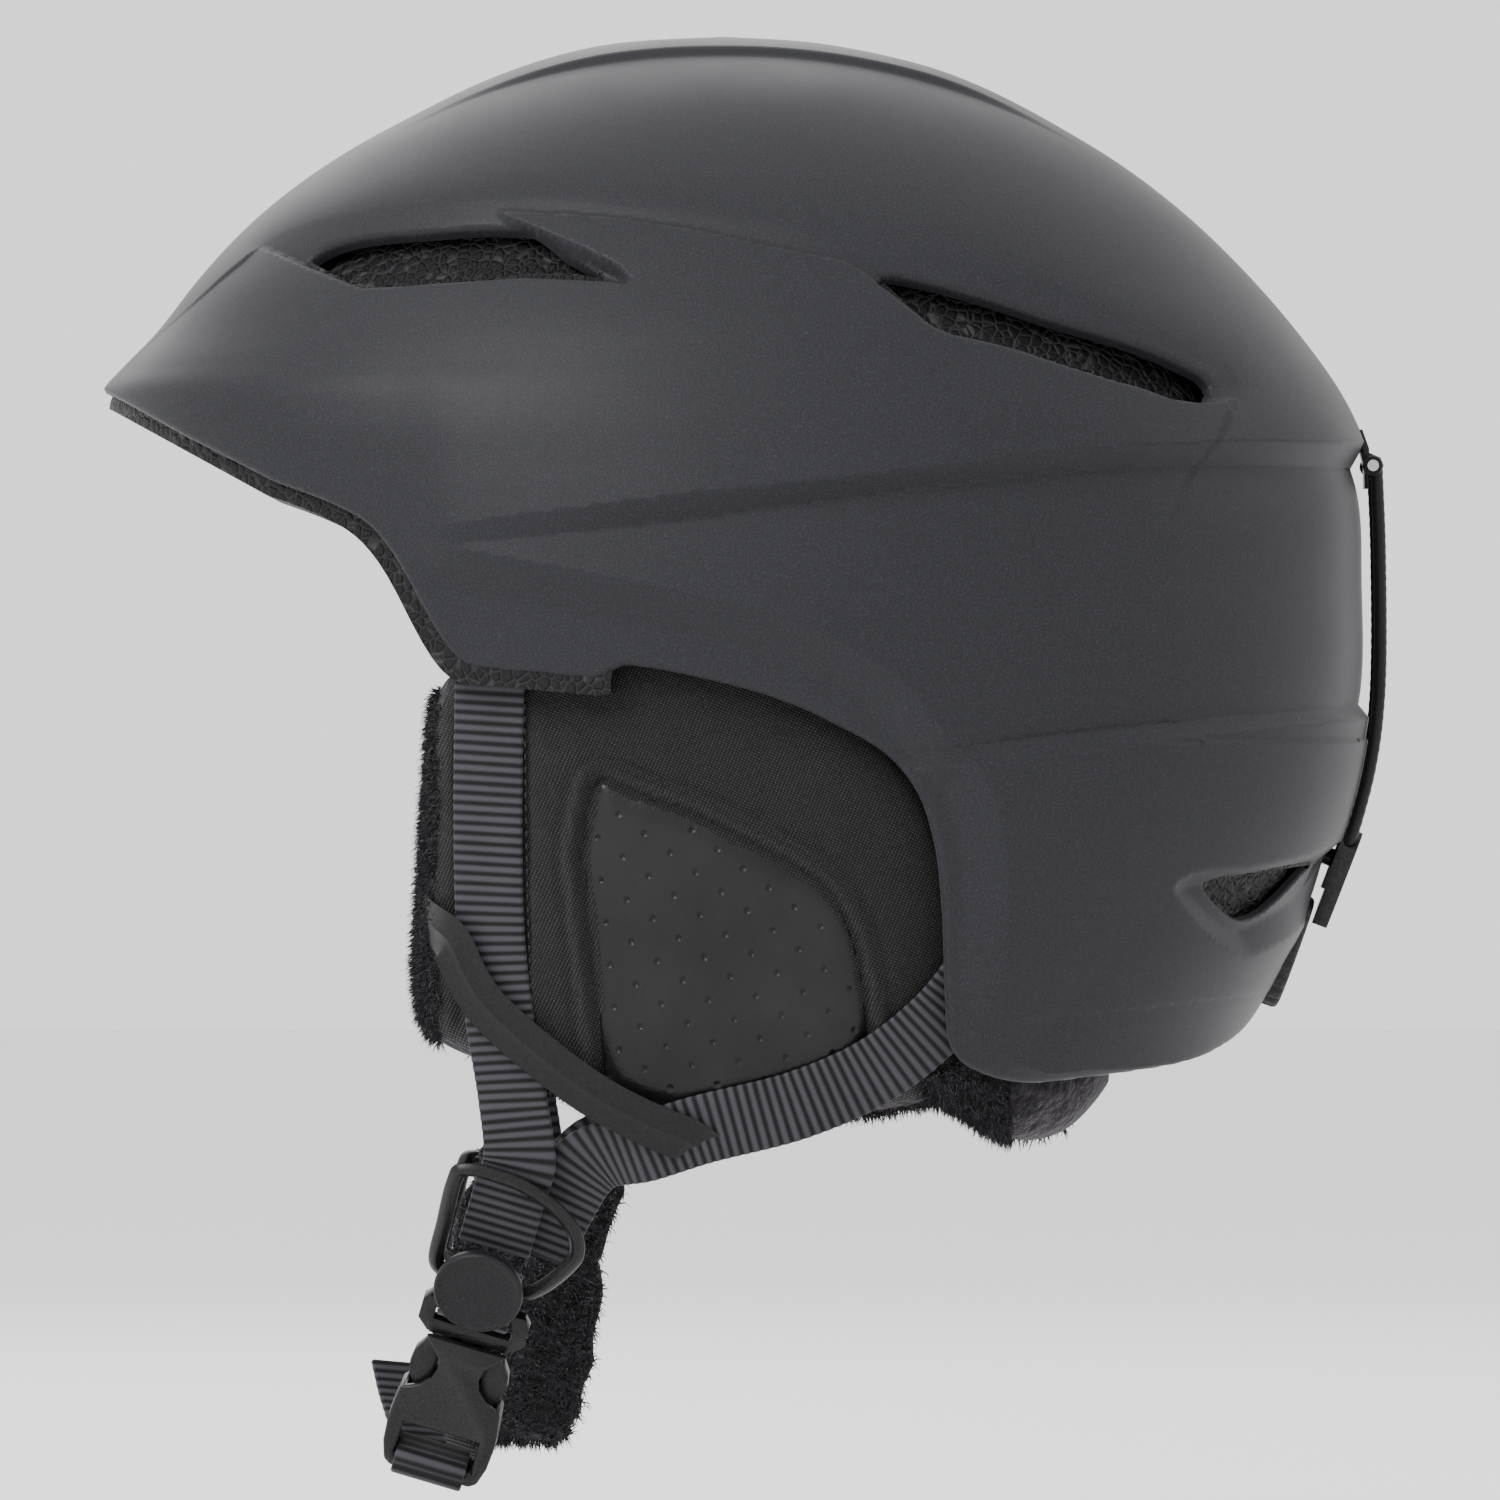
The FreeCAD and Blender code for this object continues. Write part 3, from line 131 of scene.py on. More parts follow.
def side_x(y, z, inset):
    """How far out the helmet's left surface lies at a length and height, moved in by inset."""
    low = np.r_[0, np.arange(len(LEVELS) - 1)]
    high = np.r_[np.arange(1, len(LEVELS)), len(LEVELS) - 1]
    rise, grow = LEVELS[high, 0] - LEVELS[low, 0], LEVEL_REACH[high] - LEVEL_REACH[low]
    slope = np.hypot(rise, grow)
    out, up = rise / slope, -grow / slope
    y, z, inset = np.broadcast_arrays(np.asarray(y, float), np.asarray(z, float), np.asarray(inset, float))
    nearest = z + 0.0
    for _ in range(2):
        up_here = np.interp(nearest, LEVELS[:, 0], up)
        out_here = np.interp(nearest, LEVELS[:, 0], out)
        nearest = z + inset * up_here
    front = spline(nearest, LEVELS[:, 0], LEVELS[:, 1]) + inset * out_here
    rear = spline(nearest, LEVELS[:, 0], LEVELS[:, 2]) - inset * out_here
    half = spline(nearest, LEVELS[:, 0], LEVELS[:, 3]) - inset * out_here
    middle = front + WIDEST * (rear - front)
    reach = np.where(y > middle, rear - middle, middle - front)
    part = np.clip(np.abs(y - middle) / reach, 0, 1)
    return half * np.clip(1 - part**PLAN_POWER, 0, 1) ** (1 / PLAN_POWER)


def side_point(y, z, inset):
    """The left surface's point at a length and height."""
    x = side_x(y, z, inset)
    y, z = np.broadcast_to(y, x.shape), np.broadcast_to(z, x.shape)
    return np.stack([x, y, z], -1)


def side_normal(y, z, inset):
    """The left surface's outward normal."""
    y, z = np.asarray(y, float), np.asarray(z, float)
    gap = 1.5
    by = (side_x(y + gap, z, inset) - side_x(y - gap, z, inset)) / (2 * gap)
    bz = (side_x(y, z + gap, inset) - side_x(y, z - gap, inset)) / (2 * gap)
    return unit(np.stack([np.ones_like(by), -by, -bz], -1))


# ------------------------------------------------------------------ side-view curves

def curve2(points, count=160, closed=False):
    """A smooth run of points through these, evenly spaced."""
    p = np.asarray(points, float)
    if closed:
        p = np.vstack([p[-2:], p, p[:3]])
    chord = np.concatenate([[0], np.cumsum(np.sqrt(np.linalg.norm(np.diff(p, axis=0), axis=1)))])
    if closed:
        ends = chord[2], chord[len(p) - 3]
    else:
        ends = 0, chord[-1]
    fine = np.linspace(*ends, count * 8)
    q = np.stack([spline(fine, chord, p[:, k]) for k in range(p.shape[1])], -1)
    run = np.concatenate([[0], np.cumsum(np.linalg.norm(np.diff(q, axis=0), axis=1))])
    goal = np.linspace(0, run[-1], count, endpoint=not closed)
    return np.stack([np.interp(goal, run, q[:, k]) for k in range(p.shape[1])], -1)


def line_distance(points, line, near=60.0):
    """Signed distance to a run of points, positive on its left, within a distance near of it."""
    p = np.asarray(points, float)
    best = np.full(len(p), near)
    sign = np.ones(len(p))
    for start in range(0, len(line) - 1, 12):
        part = line[start:start + 13]
        low, high = part.min(0) - near, part.max(0) + near
        chosen = np.nonzero(((p >= low) & (p <= high)).all(1))[0]
        q, dist, side = p[chosen], best[chosen], sign[chosen]
        for a, b in zip(part[:-1], part[1:]):
            d = b - a
            length2 = float(d @ d)
            if length2 < 1e-12:
                continue
            t = np.clip(((q - a) @ d) / length2, 0, 1)
            gap = np.hypot(q[:, 0] - a[0] - t * d[0], q[:, 1] - a[1] - t * d[1])
            cross = d[0] * (q[:, 1] - a[1]) - d[1] * (q[:, 0] - a[0])
            closer = gap < dist
            dist = np.where(closer, gap, dist)
            side = np.where(closer, np.where(cross >= 0, 1.0, -1.0), side)
        best[chosen], sign[chosen] = dist, side
    return best * sign


def is_inside(points, loop):
    p = np.asarray(points, float)
    ring = np.vstack([loop, loop[:1]])
    count = np.zeros(len(p), bool)
    for a, b in zip(ring[:-1], ring[1:]):
        if a[1] == b[1]:
            continue
        crosses = (a[1] > p[:, 1]) != (b[1] > p[:, 1])
        at = a[0] + (p[:, 1] - a[1]) / (b[1] - a[1]) * (b[0] - a[0])
        count ^= crosses & (p[:, 0] < at)
    return count


def inside(points, loop, near=60.0):
    """Signed distance to a closed outline, positive inside."""
    ring = np.vstack([loop, loop[:1]])
    gap = np.abs(line_distance(points, ring, near))
    return np.where(is_inside(points, loop), 1.0, -1.0) * gap


def heading(line, closed):
    """The way a run of points goes, at each of its points."""
    if closed:
        return unit(np.roll(line, -1, 0) - np.roll(line, 1, 0))
    return unit(np.gradient(line, axis=0))


def moved_out(loop, distance):
    """A closed outline moved sideways; one that turns left moves outward."""
    ahead = heading(loop, True)
    return loop + np.stack([ahead[:, 1], -ahead[:, 0]], -1) * distance


def turns_left(loop):
    x, y = loop[:, 0], loop[:, 1]
    return (x * np.roll(y, -1) - y * np.roll(x, -1)).sum() > 0


# ------------------------------------------------------------------ mesh helpers

def new_object(name, verts, faces, finish, creases=None):
    """A smooth-shaded mesh object from millimetres."""
    mesh = bpy.data.meshes.new(name)
    mesh.from_pydata((np.asarray(verts, float) * MM).tolist(), [], [list(map(int, f)) for f in faces])
    mesh.validate()
    mesh.polygons.foreach_set("use_smooth", [True] * len(mesh.polygons))
    if creases:
        mesh.set_sharp_from_angle(angle=math.radians(creases))
    mesh.update()
    obj = bpy.data.objects.new(name, mesh)
    bpy.context.scene.collection.objects.link(obj)
    mesh.materials.append(finish)
    return obj


def shade_value(obj, name, values):
    """Stores one number at each vertex for the material to read."""
    layer = obj.data.attributes.new(name, "FLOAT", "POINT")
    layer.data.foreach_set("value", np.asarray(values, np.float32))


def place(obj, *nodes, body=None):
    """Rides a piece on its nodes' body and has it stand for them."""
    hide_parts(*nodes)
    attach(obj, body or BODY_OF[nodes[0]])
    return obj


def split_mesh(data, tris, values, both=False):
    """Cuts a triangle mesh along values of zero, and keeps the positive side, or both sides."""
    values = np.where(np.abs(values) < 1e-4, 1e-4, values)
    positive = values > 0
    flags = positive[tris]
    hits = flags.sum(1)
    mixed = (hits == 1) | (hits == 2)
    whole = tris[~mixed] if both else tris[hits == 3]
    m, one = tris[mixed], hits[mixed] == 1
    lone = np.where(one, flags[mixed].argmax(1), (~flags[mixed]).argmax(1))
    row = np.arange(len(m))
    a, b, c = m[row, lone], m[row, (lone + 1) % 3], m[row, (lone + 2) % 3]
    edges = np.sort(np.vstack([np.stack([a, b], 1), np.stack([a, c], 1)]), 1)
    cut, index = np.unique(edges, axis=0, return_inverse=True)
    t = values[cut[:, 0]] / (values[cut[:, 0]] - values[cut[:, 1]])
    fresh = data[cut[:, 0]] + t[:, None] * (data[cut[:, 1]] - data[cut[:, 0]])
    index = index.reshape(-1) + len(data)
    ab, ac = index[:len(m)], index[len(m):]
    tips = np.stack([a, ab, ac], 1)
    rest = np.vstack([np.stack([ab, b, c], 1), np.stack([ab, c, ac], 1)])
    if not both:
        tips, rest = tips[one], rest[np.tile(~one, 2)]
    kept = np.vstack([whole, tips, rest])
    used, index = np.unique(kept, return_inverse=True)
    return np.vstack([data, fresh])[used], index.reshape(-1, 3)


def vertex_normals(verts, tris):
    n = np.cross(verts[tris[:, 1]] - verts[tris[:, 0]], verts[tris[:, 2]] - verts[tris[:, 0]])
    out = np.zeros_like(verts)
    for k in range(3):
        np.add.at(out, tris[:, k], n)
    return unit(out)


def boundary_edges(tris):
    """Directed edges used by one triangle only."""
    edges = np.vstack([tris[:, [0, 1]], tris[:, [1, 2]], tris[:, [2, 0]]])
    _, first, counts = np.unique(np.sort(edges, 1), axis=0, return_index=True, return_counts=True)
    return edges[first[counts == 1]]


def flip_x(verts, faces):
    """The other side's copy of a mesh."""
    return np.asarray(verts) * [-1, 1, 1], [tuple(f)[::-1] for f in faces]


def sided(side, mesh):
    """A left-hand mesh as it is, or mirrored for the right."""
    return mesh if side == "left" else flip_x(*mesh)


def joined(*parts):
    """Several (verts, faces) as one."""
    verts, faces, offset = [], [], 0
    for v, f in parts:
        verts.append(np.asarray(v, float))
        faces += [tuple(int(i) + offset for i in face) for face in f]
        offset += len(v)
    return np.vstack(verts), faces


def grid2(low, high, step):
    """A flat triangle grid over a box."""
    xs = np.arange(low[0], high[0] + step, step)
    ys = np.arange(low[1], high[1] + step, step)
    points = np.stack(np.meshgrid(xs, ys, indexing="ij"), -1).reshape(-1, 2)
    i, j = np.meshgrid(np.arange(len(xs) - 1), np.arange(len(ys) - 1), indexing="ij")
    a = (i * len(ys) + j).ravel()
    b, c, d = a + len(ys), a + len(ys) + 1, a + 1
    odd = ((i + j) % 2).ravel().astype(bool)[:, None]
    one = np.where(odd, np.stack([a, b, c], 1), np.stack([a, b, d], 1))
    two = np.where(odd, np.stack([a, c, d], 1), np.stack([b, c, d], 1))
    return points, np.vstack([one, two])


def pillow(outline, rim, step, top, bottom, relief=None, layers=7):
    """A pad on the helmet's left side: an outline whose rounded rim joins an outer and an inner face.
    top and bottom are insets; relief(points, distance in) stands the outer face out."""
    if not turns_left(outline):
        outline = outline[::-1]
    q, tris = grid2(outline.min(0), outline.max(0), step)
    q, tris = split_mesh(q, tris, inside(q, outline) - rim)
    depth = inside(q, outline) - rim
    lift = relief(q, depth) if relief else 0.0
    outer = side_point(q[:, 0], q[:, 1], top - lift)
    inner = side_point(q[:, 0], q[:, 1], bottom)
    edges = boundary_edges(tris)
    rim_points, index = np.unique(edges, return_inverse=True)
    index = index.reshape(-1, 2)
    ahead = np.zeros((len(rim_points), 2))
    run = unit(q[edges[:, 1]] - q[edges[:, 0]])
    np.add.at(ahead, index[:, 0], run)
    np.add.at(ahead, index[:, 1], run)
    ahead = unit(ahead)
    out = np.stack([ahead[:, 1], -ahead[:, 0]], -1)
    first = (top - lift)[rim_points] if relief else np.full(len(rim_points), float(top))
    count = len(q)
    verts = [outer, inner]
    faces = [tuple(t) for t in tris.tolist()]
    faces += [(c + count, b + count, a + count) for a, b, c in tris.tolist()]
    rings = [rim_points]
    offset = 2 * count
    for k in range(1, layers):
        turn = math.pi * k / layers
        at = q[rim_points] + out * rim * math.sin(turn)
        inset = (first + bottom) / 2 - (bottom - first) / 2 * math.cos(turn)
        verts.append(side_point(at[:, 0], at[:, 1], inset))
        rings.append(np.arange(offset, offset + len(rim_points)))
        offset += len(rim_points)
    rings.append(rim_points + count)
    for near, far in zip(rings[:-1], rings[1:]):
        wall = [near[index[:, 1]], near[index[:, 0]], far[index[:, 0]], far[index[:, 1]]]
        faces += np.stack(wall, 1).tolist()
    return np.vstack(verts), faces


def stations(path, step):
    """Evenly spaced middles and outward directions along a given path of (middle, outward)."""
    points = np.array([np.r_[at, unit(out) * 12] for at, out in path], float)
    length = np.linalg.norm(np.diff(points[:, :3], axis=0), axis=1).sum()
    fine = curve2(points, max(int(length / step), 4))
    return fine[:, :3], unit(fine[:, 3:])


def sweep(middle, outward, profile, wide=1.0, thick=1.0, closed=False):
    """A cross-section of (across, outward) points carried along a line."""
    ahead = heading(middle, closed)
    across = unit(np.cross(ahead, outward))
    out = np.cross(across, ahead)
    wide = np.broadcast_to(wide, len(middle))[:, None, None]
    thick = np.broadcast_to(thick, len(middle))[:, None, None]
    profile = np.asarray(profile, float)
    rings = (middle[:, None] + across[:, None] * profile[None, :, :1] * wide
             + out[:, None] * profile[None, :, 1:] * thick)
    n, k = rings.shape[:2]
    faces = []
    for i in range(n if closed else n - 1):
        j = (i + 1) % n
        for a in range(k):
            b = (a + 1) % k
            faces.append((i * k + a, j * k + a, j * k + b, i * k + b))
    if not closed:
        faces.append(tuple(range(k)))
        faces.append(tuple(range(n * k - 1, (n - 1) * k - 1, -1)))
    return rings.reshape(-1, 3), faces


def round_section(count=12, wide=1.0, thick=1.0, power=2.0):
    """A superellipse cross-section."""
    t = 2 * np.pi * np.arange(count) / count
    c, s = np.cos(t), np.sin(t)
    across, out = [np.sign(v) * np.abs(v) ** (2 / power) for v in (c, s)]
    return np.stack([wide * across, thick * out], -1)


def lathe(profile, origin, axis, count=64, radius=None):
    """A (radius, along) profile turned about an axis; radius(turn, r, along) may shape it."""
    axis = unit(axis)
    side = unit(np.cross(axis, [1, 0, 0] if abs(axis[0]) < 0.8 else [0, 1, 0]))
    up = np.cross(axis, side)
    turn = 2 * np.pi * np.arange(count) / count
    verts = []
    for r, along in profile:
        reach = np.full(count, float(r)) if radius is None else radius(turn, r, along)
        verts.append(np.asarray(origin) + axis * along
                     + reach[:, None] * (np.cos(turn)[:, None] * side + np.sin(turn)[:, None] * up))
    faces = []
    for i in range(len(profile) - 1):
        for a in range(count):
            b = (a + 1) % count
            faces.append((i * count + a, (i + 1) * count + a, (i + 1) * count + b, i * count + b))
    faces.append(tuple(range(count)))
    faces.append(tuple(range(len(profile) * count - 1, (len(profile) - 1) * count - 1, -1)))
    return np.vstack(verts), faces


def node_mesh(name):
    """A CAD node's vertices in millimetres and its faces."""
    source = frame["nodes"][name]
    verts = np.array([tuple(source.matrix_world @ v.co) for v in source.data.vertices]) / MM
    return verts, [tuple(p.vertices) for p in source.data.polygons]


def applied(obj):
    """The object with its modifiers made part of its mesh."""
    mesh = bpy.data.meshes.new_from_object(obj.evaluated_get(bpy.context.evaluated_depsgraph_get()))
    obj.modifiers.clear()
    old, obj.data = obj.data, mesh
    bpy.data.meshes.remove(old)
    return obj


BEVEL_ANGLE = 26        # edges sharper than this many degrees are rounded


def bevelled(name, width, finish, segments=2):
    """A copy of a moulded CAD piece with its edges rounded, which stands for it."""
    verts, faces = node_mesh(name)
    obj = new_object(name + "_moulded", verts, faces, finish)
    bm = bmesh.new()
    bm.from_mesh(obj.data)
    bmesh.ops.remove_doubles(bm, verts=bm.verts, dist=1e-6)
    bmesh.ops.dissolve_limit(bm, angle_limit=math.radians(1.5), verts=bm.verts, edges=bm.edges)
    bm.to_mesh(obj.data)
    bm.free()
    bevel = obj.modifiers.new("round", "BEVEL")
    bevel.width = width * MM
    bevel.segments = segments
    bevel.limit_method = "ANGLE"
    bevel.angle_limit = math.radians(BEVEL_ANGLE)
    bevel.use_clamp_overlap = True
    bevel.harden_normals = True
    applied(obj)
    obj.data.set_sharp_from_angle(angle=math.radians(40))
    return place(obj, name)


PILE_DROOP = 0.35


def fuzz(verts, faces, count, length, seed, wanted=None):
    """Short curved tufts of pile standing on a surface."""
    random = np.random.default_rng(seed)
    tris = np.array([(f[0], f[i], f[i + 1]) for f in faces for i in range(1, len(f) - 1)])
    a, b, c = verts[tris[:, 0]], verts[tris[:, 1]], verts[tris[:, 2]]
    normal = np.cross(b - a, c - a)
    area = np.linalg.norm(normal, axis=1)
    normal = unit(normal)
    weight = area * (wanted((a + b + c) / 3, normal) if wanted else 1.0)
    pick = random.choice(len(tris), count, p=weight / weight.sum())
    u, v = random.random((2, count, 1))
    over = u + v > 1
    u, v = np.where(over, 1 - u, u), np.where(over, 1 - v, v)
    root = a[pick] + u * (b - a)[pick] + v * (c - a)[pick]
    n = normal[pick]
    lean = unit(n + random.normal(0, 0.55, (count, 3)))
    tall = length * random.uniform(0.55, 1.25, (count, 1))
    side = unit(np.cross(lean, random.normal(0, 1, (count, 3)))) * 0.17
    middle = root + lean * tall * 0.55
    tip = root + unit(lean + [0, 0, -PILE_DROOP]) * tall + random.normal(0, 0.12, (count, 3)) * tall
    corners_of = [root - side, root + side, middle + side * 0.8, middle - side * 0.8, tip]
    blades = np.stack(corners_of, 1).reshape(-1, 3)
    base = np.arange(count)[:, None] * 5
    quads = (base + [0, 1, 2, 3]).tolist()
    points = (base + [3, 2, 4]).tolist()
    return blades, quads + points


RIPPLE_WAVES = 9


def ripple(p, size, seed):
    """Smooth random unevenness between about -1 and 1, the same at each run."""
    random = np.random.default_rng(seed)
    out = np.zeros(len(p))
    for _ in range(RIPPLE_WAVES):
        direction = unit(random.normal(0, 1, p.shape[1])) * 2 * np.pi / (size * random.uniform(0.6, 1.6))
        out += np.sin(p @ direction + random.uniform(0, 6.28))
    return out / math.sqrt(RIPPLE_WAVES)


# ------------------------------------------------------------------ materials

STUDIO_GLOSS = 0.42     # the pale studio lights every grazing face, so all gloss is held back alike

def material(name, base, rough=0.5, spec=0.5, metallic=0.0, sheen=0.0, coat=0.0):
    m = bpy.data.materials.new(name)
    m.use_nodes = True
    tree = m.node_tree
    shader = tree.nodes["Principled BSDF"]
    shader.inputs["Base Color"].default_value = (*base, 1)
    shader.inputs["Roughness"].default_value = rough
    shader.inputs["Specular IOR Level"].default_value = spec * STUDIO_GLOSS
    shader.inputs["Metallic"].default_value = metallic
    shader.inputs["Sheen Weight"].default_value = sheen
    shader.inputs["Coat Weight"].default_value = coat
    return m, tree, shader


def texture(tree, kind, at, **settings):
    """A texture or other node, with its inputs or settings by name, fed from the given place."""
    n = tree.nodes.new(kind)
    for key, value in settings.items():
        if hasattr(n, key):
            setattr(n, key, value)
        else:
            n.inputs[key.replace("_", " ")].default_value = value
    if at is not None:
        tree.links.new(at, n.inputs["Vector"])
    return n


def object_coords(tree, scale=(1, 1, 1), turn=(0, 0, 0)):
    coords = tree.nodes.new("ShaderNodeTexCoord")
    mapping = tree.nodes.new("ShaderNodeMapping")
    mapping.inputs["Scale"].default_value = scale
    mapping.inputs["Rotation"].default_value = turn
    tree.links.new(coords.outputs["Object"], mapping.inputs["Vector"])
    return mapping.outputs["Vector"]


def sums(tree, operation, a, b=None):
    """One arithmetic step on numbers or sockets."""
    n = tree.nodes.new("ShaderNodeMath")
    n.operation = operation
    for k, value in enumerate((a, b)):
        if value is None:
            continue
        if isinstance(value, (int, float)):
            n.inputs[k].default_value = value
        else:
            tree.links.new(value, n.inputs[k])
    return n.outputs[0]


def add_bump(tree, shader, heights):
    """Chains bumps of (height socket, strength, distance in metres)."""
    last = None
    for height, strength, distance in heights:
        bump = tree.nodes.new("ShaderNodeBump")
        bump.inputs["Strength"].default_value = strength
        bump.inputs["Distance"].default_value = distance
        tree.links.new(height, bump.inputs["Height"])
        if last is not None:
            tree.links.new(last, bump.inputs["Normal"])
        last = bump.outputs["Normal"]
    tree.links.new(last, shader.inputs["Normal"])


def noise(tree, at, scale, detail):
    return texture(tree, "ShaderNodeTexNoise", at, Scale=scale, Detail=detail)


def tint(tree, shader, source, stops):
    """Colours a material by a ramp of (place, colour) over a number."""
    r = tree.nodes.new("ShaderNodeValToRGB")
    elements = r.color_ramp.elements
    while len(elements) < len(stops):
        elements.new(0.5)
    for e, (at, colour) in zip(elements, stops):
        e.position = at
        e.color = (*colour, 1)
    tree.links.new(source, r.inputs["Fac"])
    tree.links.new(r.outputs["Color"], shader.inputs["Base Color"])


def shell_material():
    m, tree, shader = material("soft_touch_shell", (0.017, 0.017, 0.021), 0.47, 0.36, sheen=0.05)
    at = object_coords(tree)
    fine = noise(tree, at, 2600.0, 2.0)
    broad = noise(tree, at, 22.0, 3.0)
    orange = noise(tree, at, 520.0, 1.0)
    tint(tree, shader, fine.outputs["Fac"], [
        (0.30, (0.0105, 0.0105, 0.0130)), (0.55, (0.0140, 0.0140, 0.0175)), (0.72, (0.023, 0.023, 0.0285))])
    rough = texture(tree, "ShaderNodeMapRange", None, From_Min=0.35, From_Max=0.65, To_Min=0.44, To_Max=0.51)
    tree.links.new(broad.outputs["Fac"], rough.inputs["Value"])
    tree.links.new(rough.outputs["Result"], shader.inputs["Roughness"])
    add_bump(tree, shader, [(fine.outputs["Fac"], 0.09, 0.0002), (orange.outputs["Fac"], 0.04, 0.0003)])
    return m


def foam_material():
    m, tree, shader = material("beaded_foam", (0.012, 0.012, 0.014), 0.55, 0.4)
    at = object_coords(tree)
    beads = texture(tree, "ShaderNodeTexVoronoi", at, Scale=430.0, feature="DISTANCE_TO_EDGE")
    grain = noise(tree, at, 2400.0, 3.0)
    tint(tree, shader, beads.outputs["Distance"], [
        (0.0, (0.028, 0.028, 0.03)), (0.06, (0.014, 0.014, 0.015)), (0.2, (0.005, 0.005, 0.006))])
    rounded = texture(tree, "ShaderNodeMapRange", None, From_Min=0.0, From_Max=0.22)
    tree.links.new(beads.outputs["Distance"], rounded.inputs["Value"])
    add_bump(tree, shader, [(rounded.outputs["Result"], 0.9, 0.0008), (grain.outputs["Fac"], 0.35, 0.0003)])
    return m


def webbing_material():
    """Ribbed webbing: the ribs are in the mesh; the material paints their crowns lighter as a painted
    highlight and the valleys darker as painted shade.
    """
    m, tree, shader = material("ribbed_webbing", (0.02, 0.02, 0.024), 0.62, 0.3, sheen=0.12)
    rib = tree.nodes.new("ShaderNodeAttribute")
    rib.attribute_name = "rib"
    at = object_coords(tree)
    yarn = noise(tree, at, 3200.0, 2.0)
    patch = noise(tree, at, 90.0, 2.0)
    # painted shade in the rib valleys and painted highlight on the crowns, with random tone from the patch
    # noise
    level = sums(tree, "ADD", rib.outputs["Fac"], sums(tree, "MULTIPLY", patch.outputs["Fac"], 0.25))
    tint(tree, shader, sums(tree, "SUBTRACT", level, 0.12), [
        (0.35, (0.002, 0.002, 0.0025)), (0.62, (0.010, 0.0098, 0.012)), (0.95, (0.040, 0.0385, 0.047))])
    add_bump(tree, shader, [(yarn.outputs["Fac"], 0.5, 0.0002)])
    return m


def weave_material(name, pitch, dark, light, turn):
    """A coarse plain weave, as in ballistic nylon; its raised yarn crossings are painted lighter and the gaps
    darker, as painted highlight and painted shade.
    """
    m, tree, shader = material(name, dark, 0.55, 0.35, sheen=0.1)
    at = object_coords(tree, turn=(turn, 0, 0))
    parts = tree.nodes.new("ShaderNodeSeparateXYZ")
    wobble = noise(tree, at, 60.0, 2.0)
    tree.links.new(at, parts.inputs[0])
    drift = sums(tree, "MULTIPLY", wobble.outputs["Fac"], pitch * 2.2)
    k = math.pi / pitch
    warp = sums(tree, "SINE", sums(tree, "MULTIPLY", sums(tree, "ADD", parts.outputs["Y"], drift), k))
    weft = sums(tree, "SINE", sums(tree, "MULTIPLY", sums(tree, "ADD", parts.outputs["Z"], drift), k * 1.25))
    cross = sums(tree, "MULTIPLY", warp, weft)
    knot = sums(tree, "ABSOLUTE", cross)
    patch = noise(tree, at, 1500.0, 1.0)
    level = sums(tree, "MULTIPLY", knot, sums(tree, "ADD", patch.outputs["Fac"], 0.35))
    # painted highlight on the raised crossings and painted shade between them, with random tone from the
    # patch noise
    between = [(d + l) / 3 for d, l in zip(dark, light)]
    tint(tree, shader, level, [(0.28, dark), (0.52, between), (0.8, light)])
    add_bump(tree, shader, [(knot, 0.75, pitch * 0.55)])
    return m


def leather_material():
    m, tree, shader = material("grained_leather", (0.012, 0.012, 0.013), 0.42, 0.5, coat=0.08)
    at = object_coords(tree)
    grain = texture(tree, "ShaderNodeTexVoronoi", at, Scale=1500.0, feature="SMOOTH_F1")
    creases = noise(tree, at, 700.0, 4.0)
    broad = noise(tree, at, 45.0, 3.0)
    tint(tree, shader, broad.outputs["Fac"], [(0.3, (0.003, 0.003, 0.0035)), (0.7, (0.008, 0.008, 0.009))])
    add_bump(tree, shader, [
        (creases.outputs["Fac"], 0.35, 0.0004), (grain.outputs["Distance"], 0.25, 0.0003)])
    return m


def fleece_material():
    m, tree, shader = material("deep_pile", (0.012, 0.011, 0.012), 0.9, 0.15, sheen=0.5)
    shader.inputs["Sheen Roughness"].default_value = 0.5
    shader.inputs["Sheen Tint"].default_value = (0.35, 0.33, 0.36, 1)
    at = object_coords(tree)
    tufts = noise(tree, at, 420.0, 4.0)
    fibre = noise(tree, at, 2600.0, 2.0)
    tint(tree, shader, tufts.outputs["Fac"], [(0.35, (0.005, 0.0045, 0.005)), (0.7, (0.026, 0.023, 0.026))])
    add_bump(tree, shader, [(tufts.outputs["Fac"], 0.9, 0.0016), (fibre.outputs["Fac"], 0.5, 0.0003)])
    return m


def knit_material():
    """Brushed knit over soft foam, for the pads inside."""
    m, tree, shader = material("brushed_knit", (0.02, 0.02, 0.022), 0.85, 0.2, sheen=0.35)
    at = object_coords(tree)
    loops = texture(tree, "ShaderNodeTexVoronoi", at, Scale=900.0)
    nap = noise(tree, at, 120.0, 4.0)
    tint(tree, shader, nap.outputs["Fac"], [(0.3, (0.013, 0.013, 0.015)), (0.7, (0.03, 0.03, 0.034))])
    add_bump(tree, shader, [(loops.outputs["Distance"], 0.6, 0.0004), (nap.outputs["Fac"], 0.4, 0.001)])
    return m


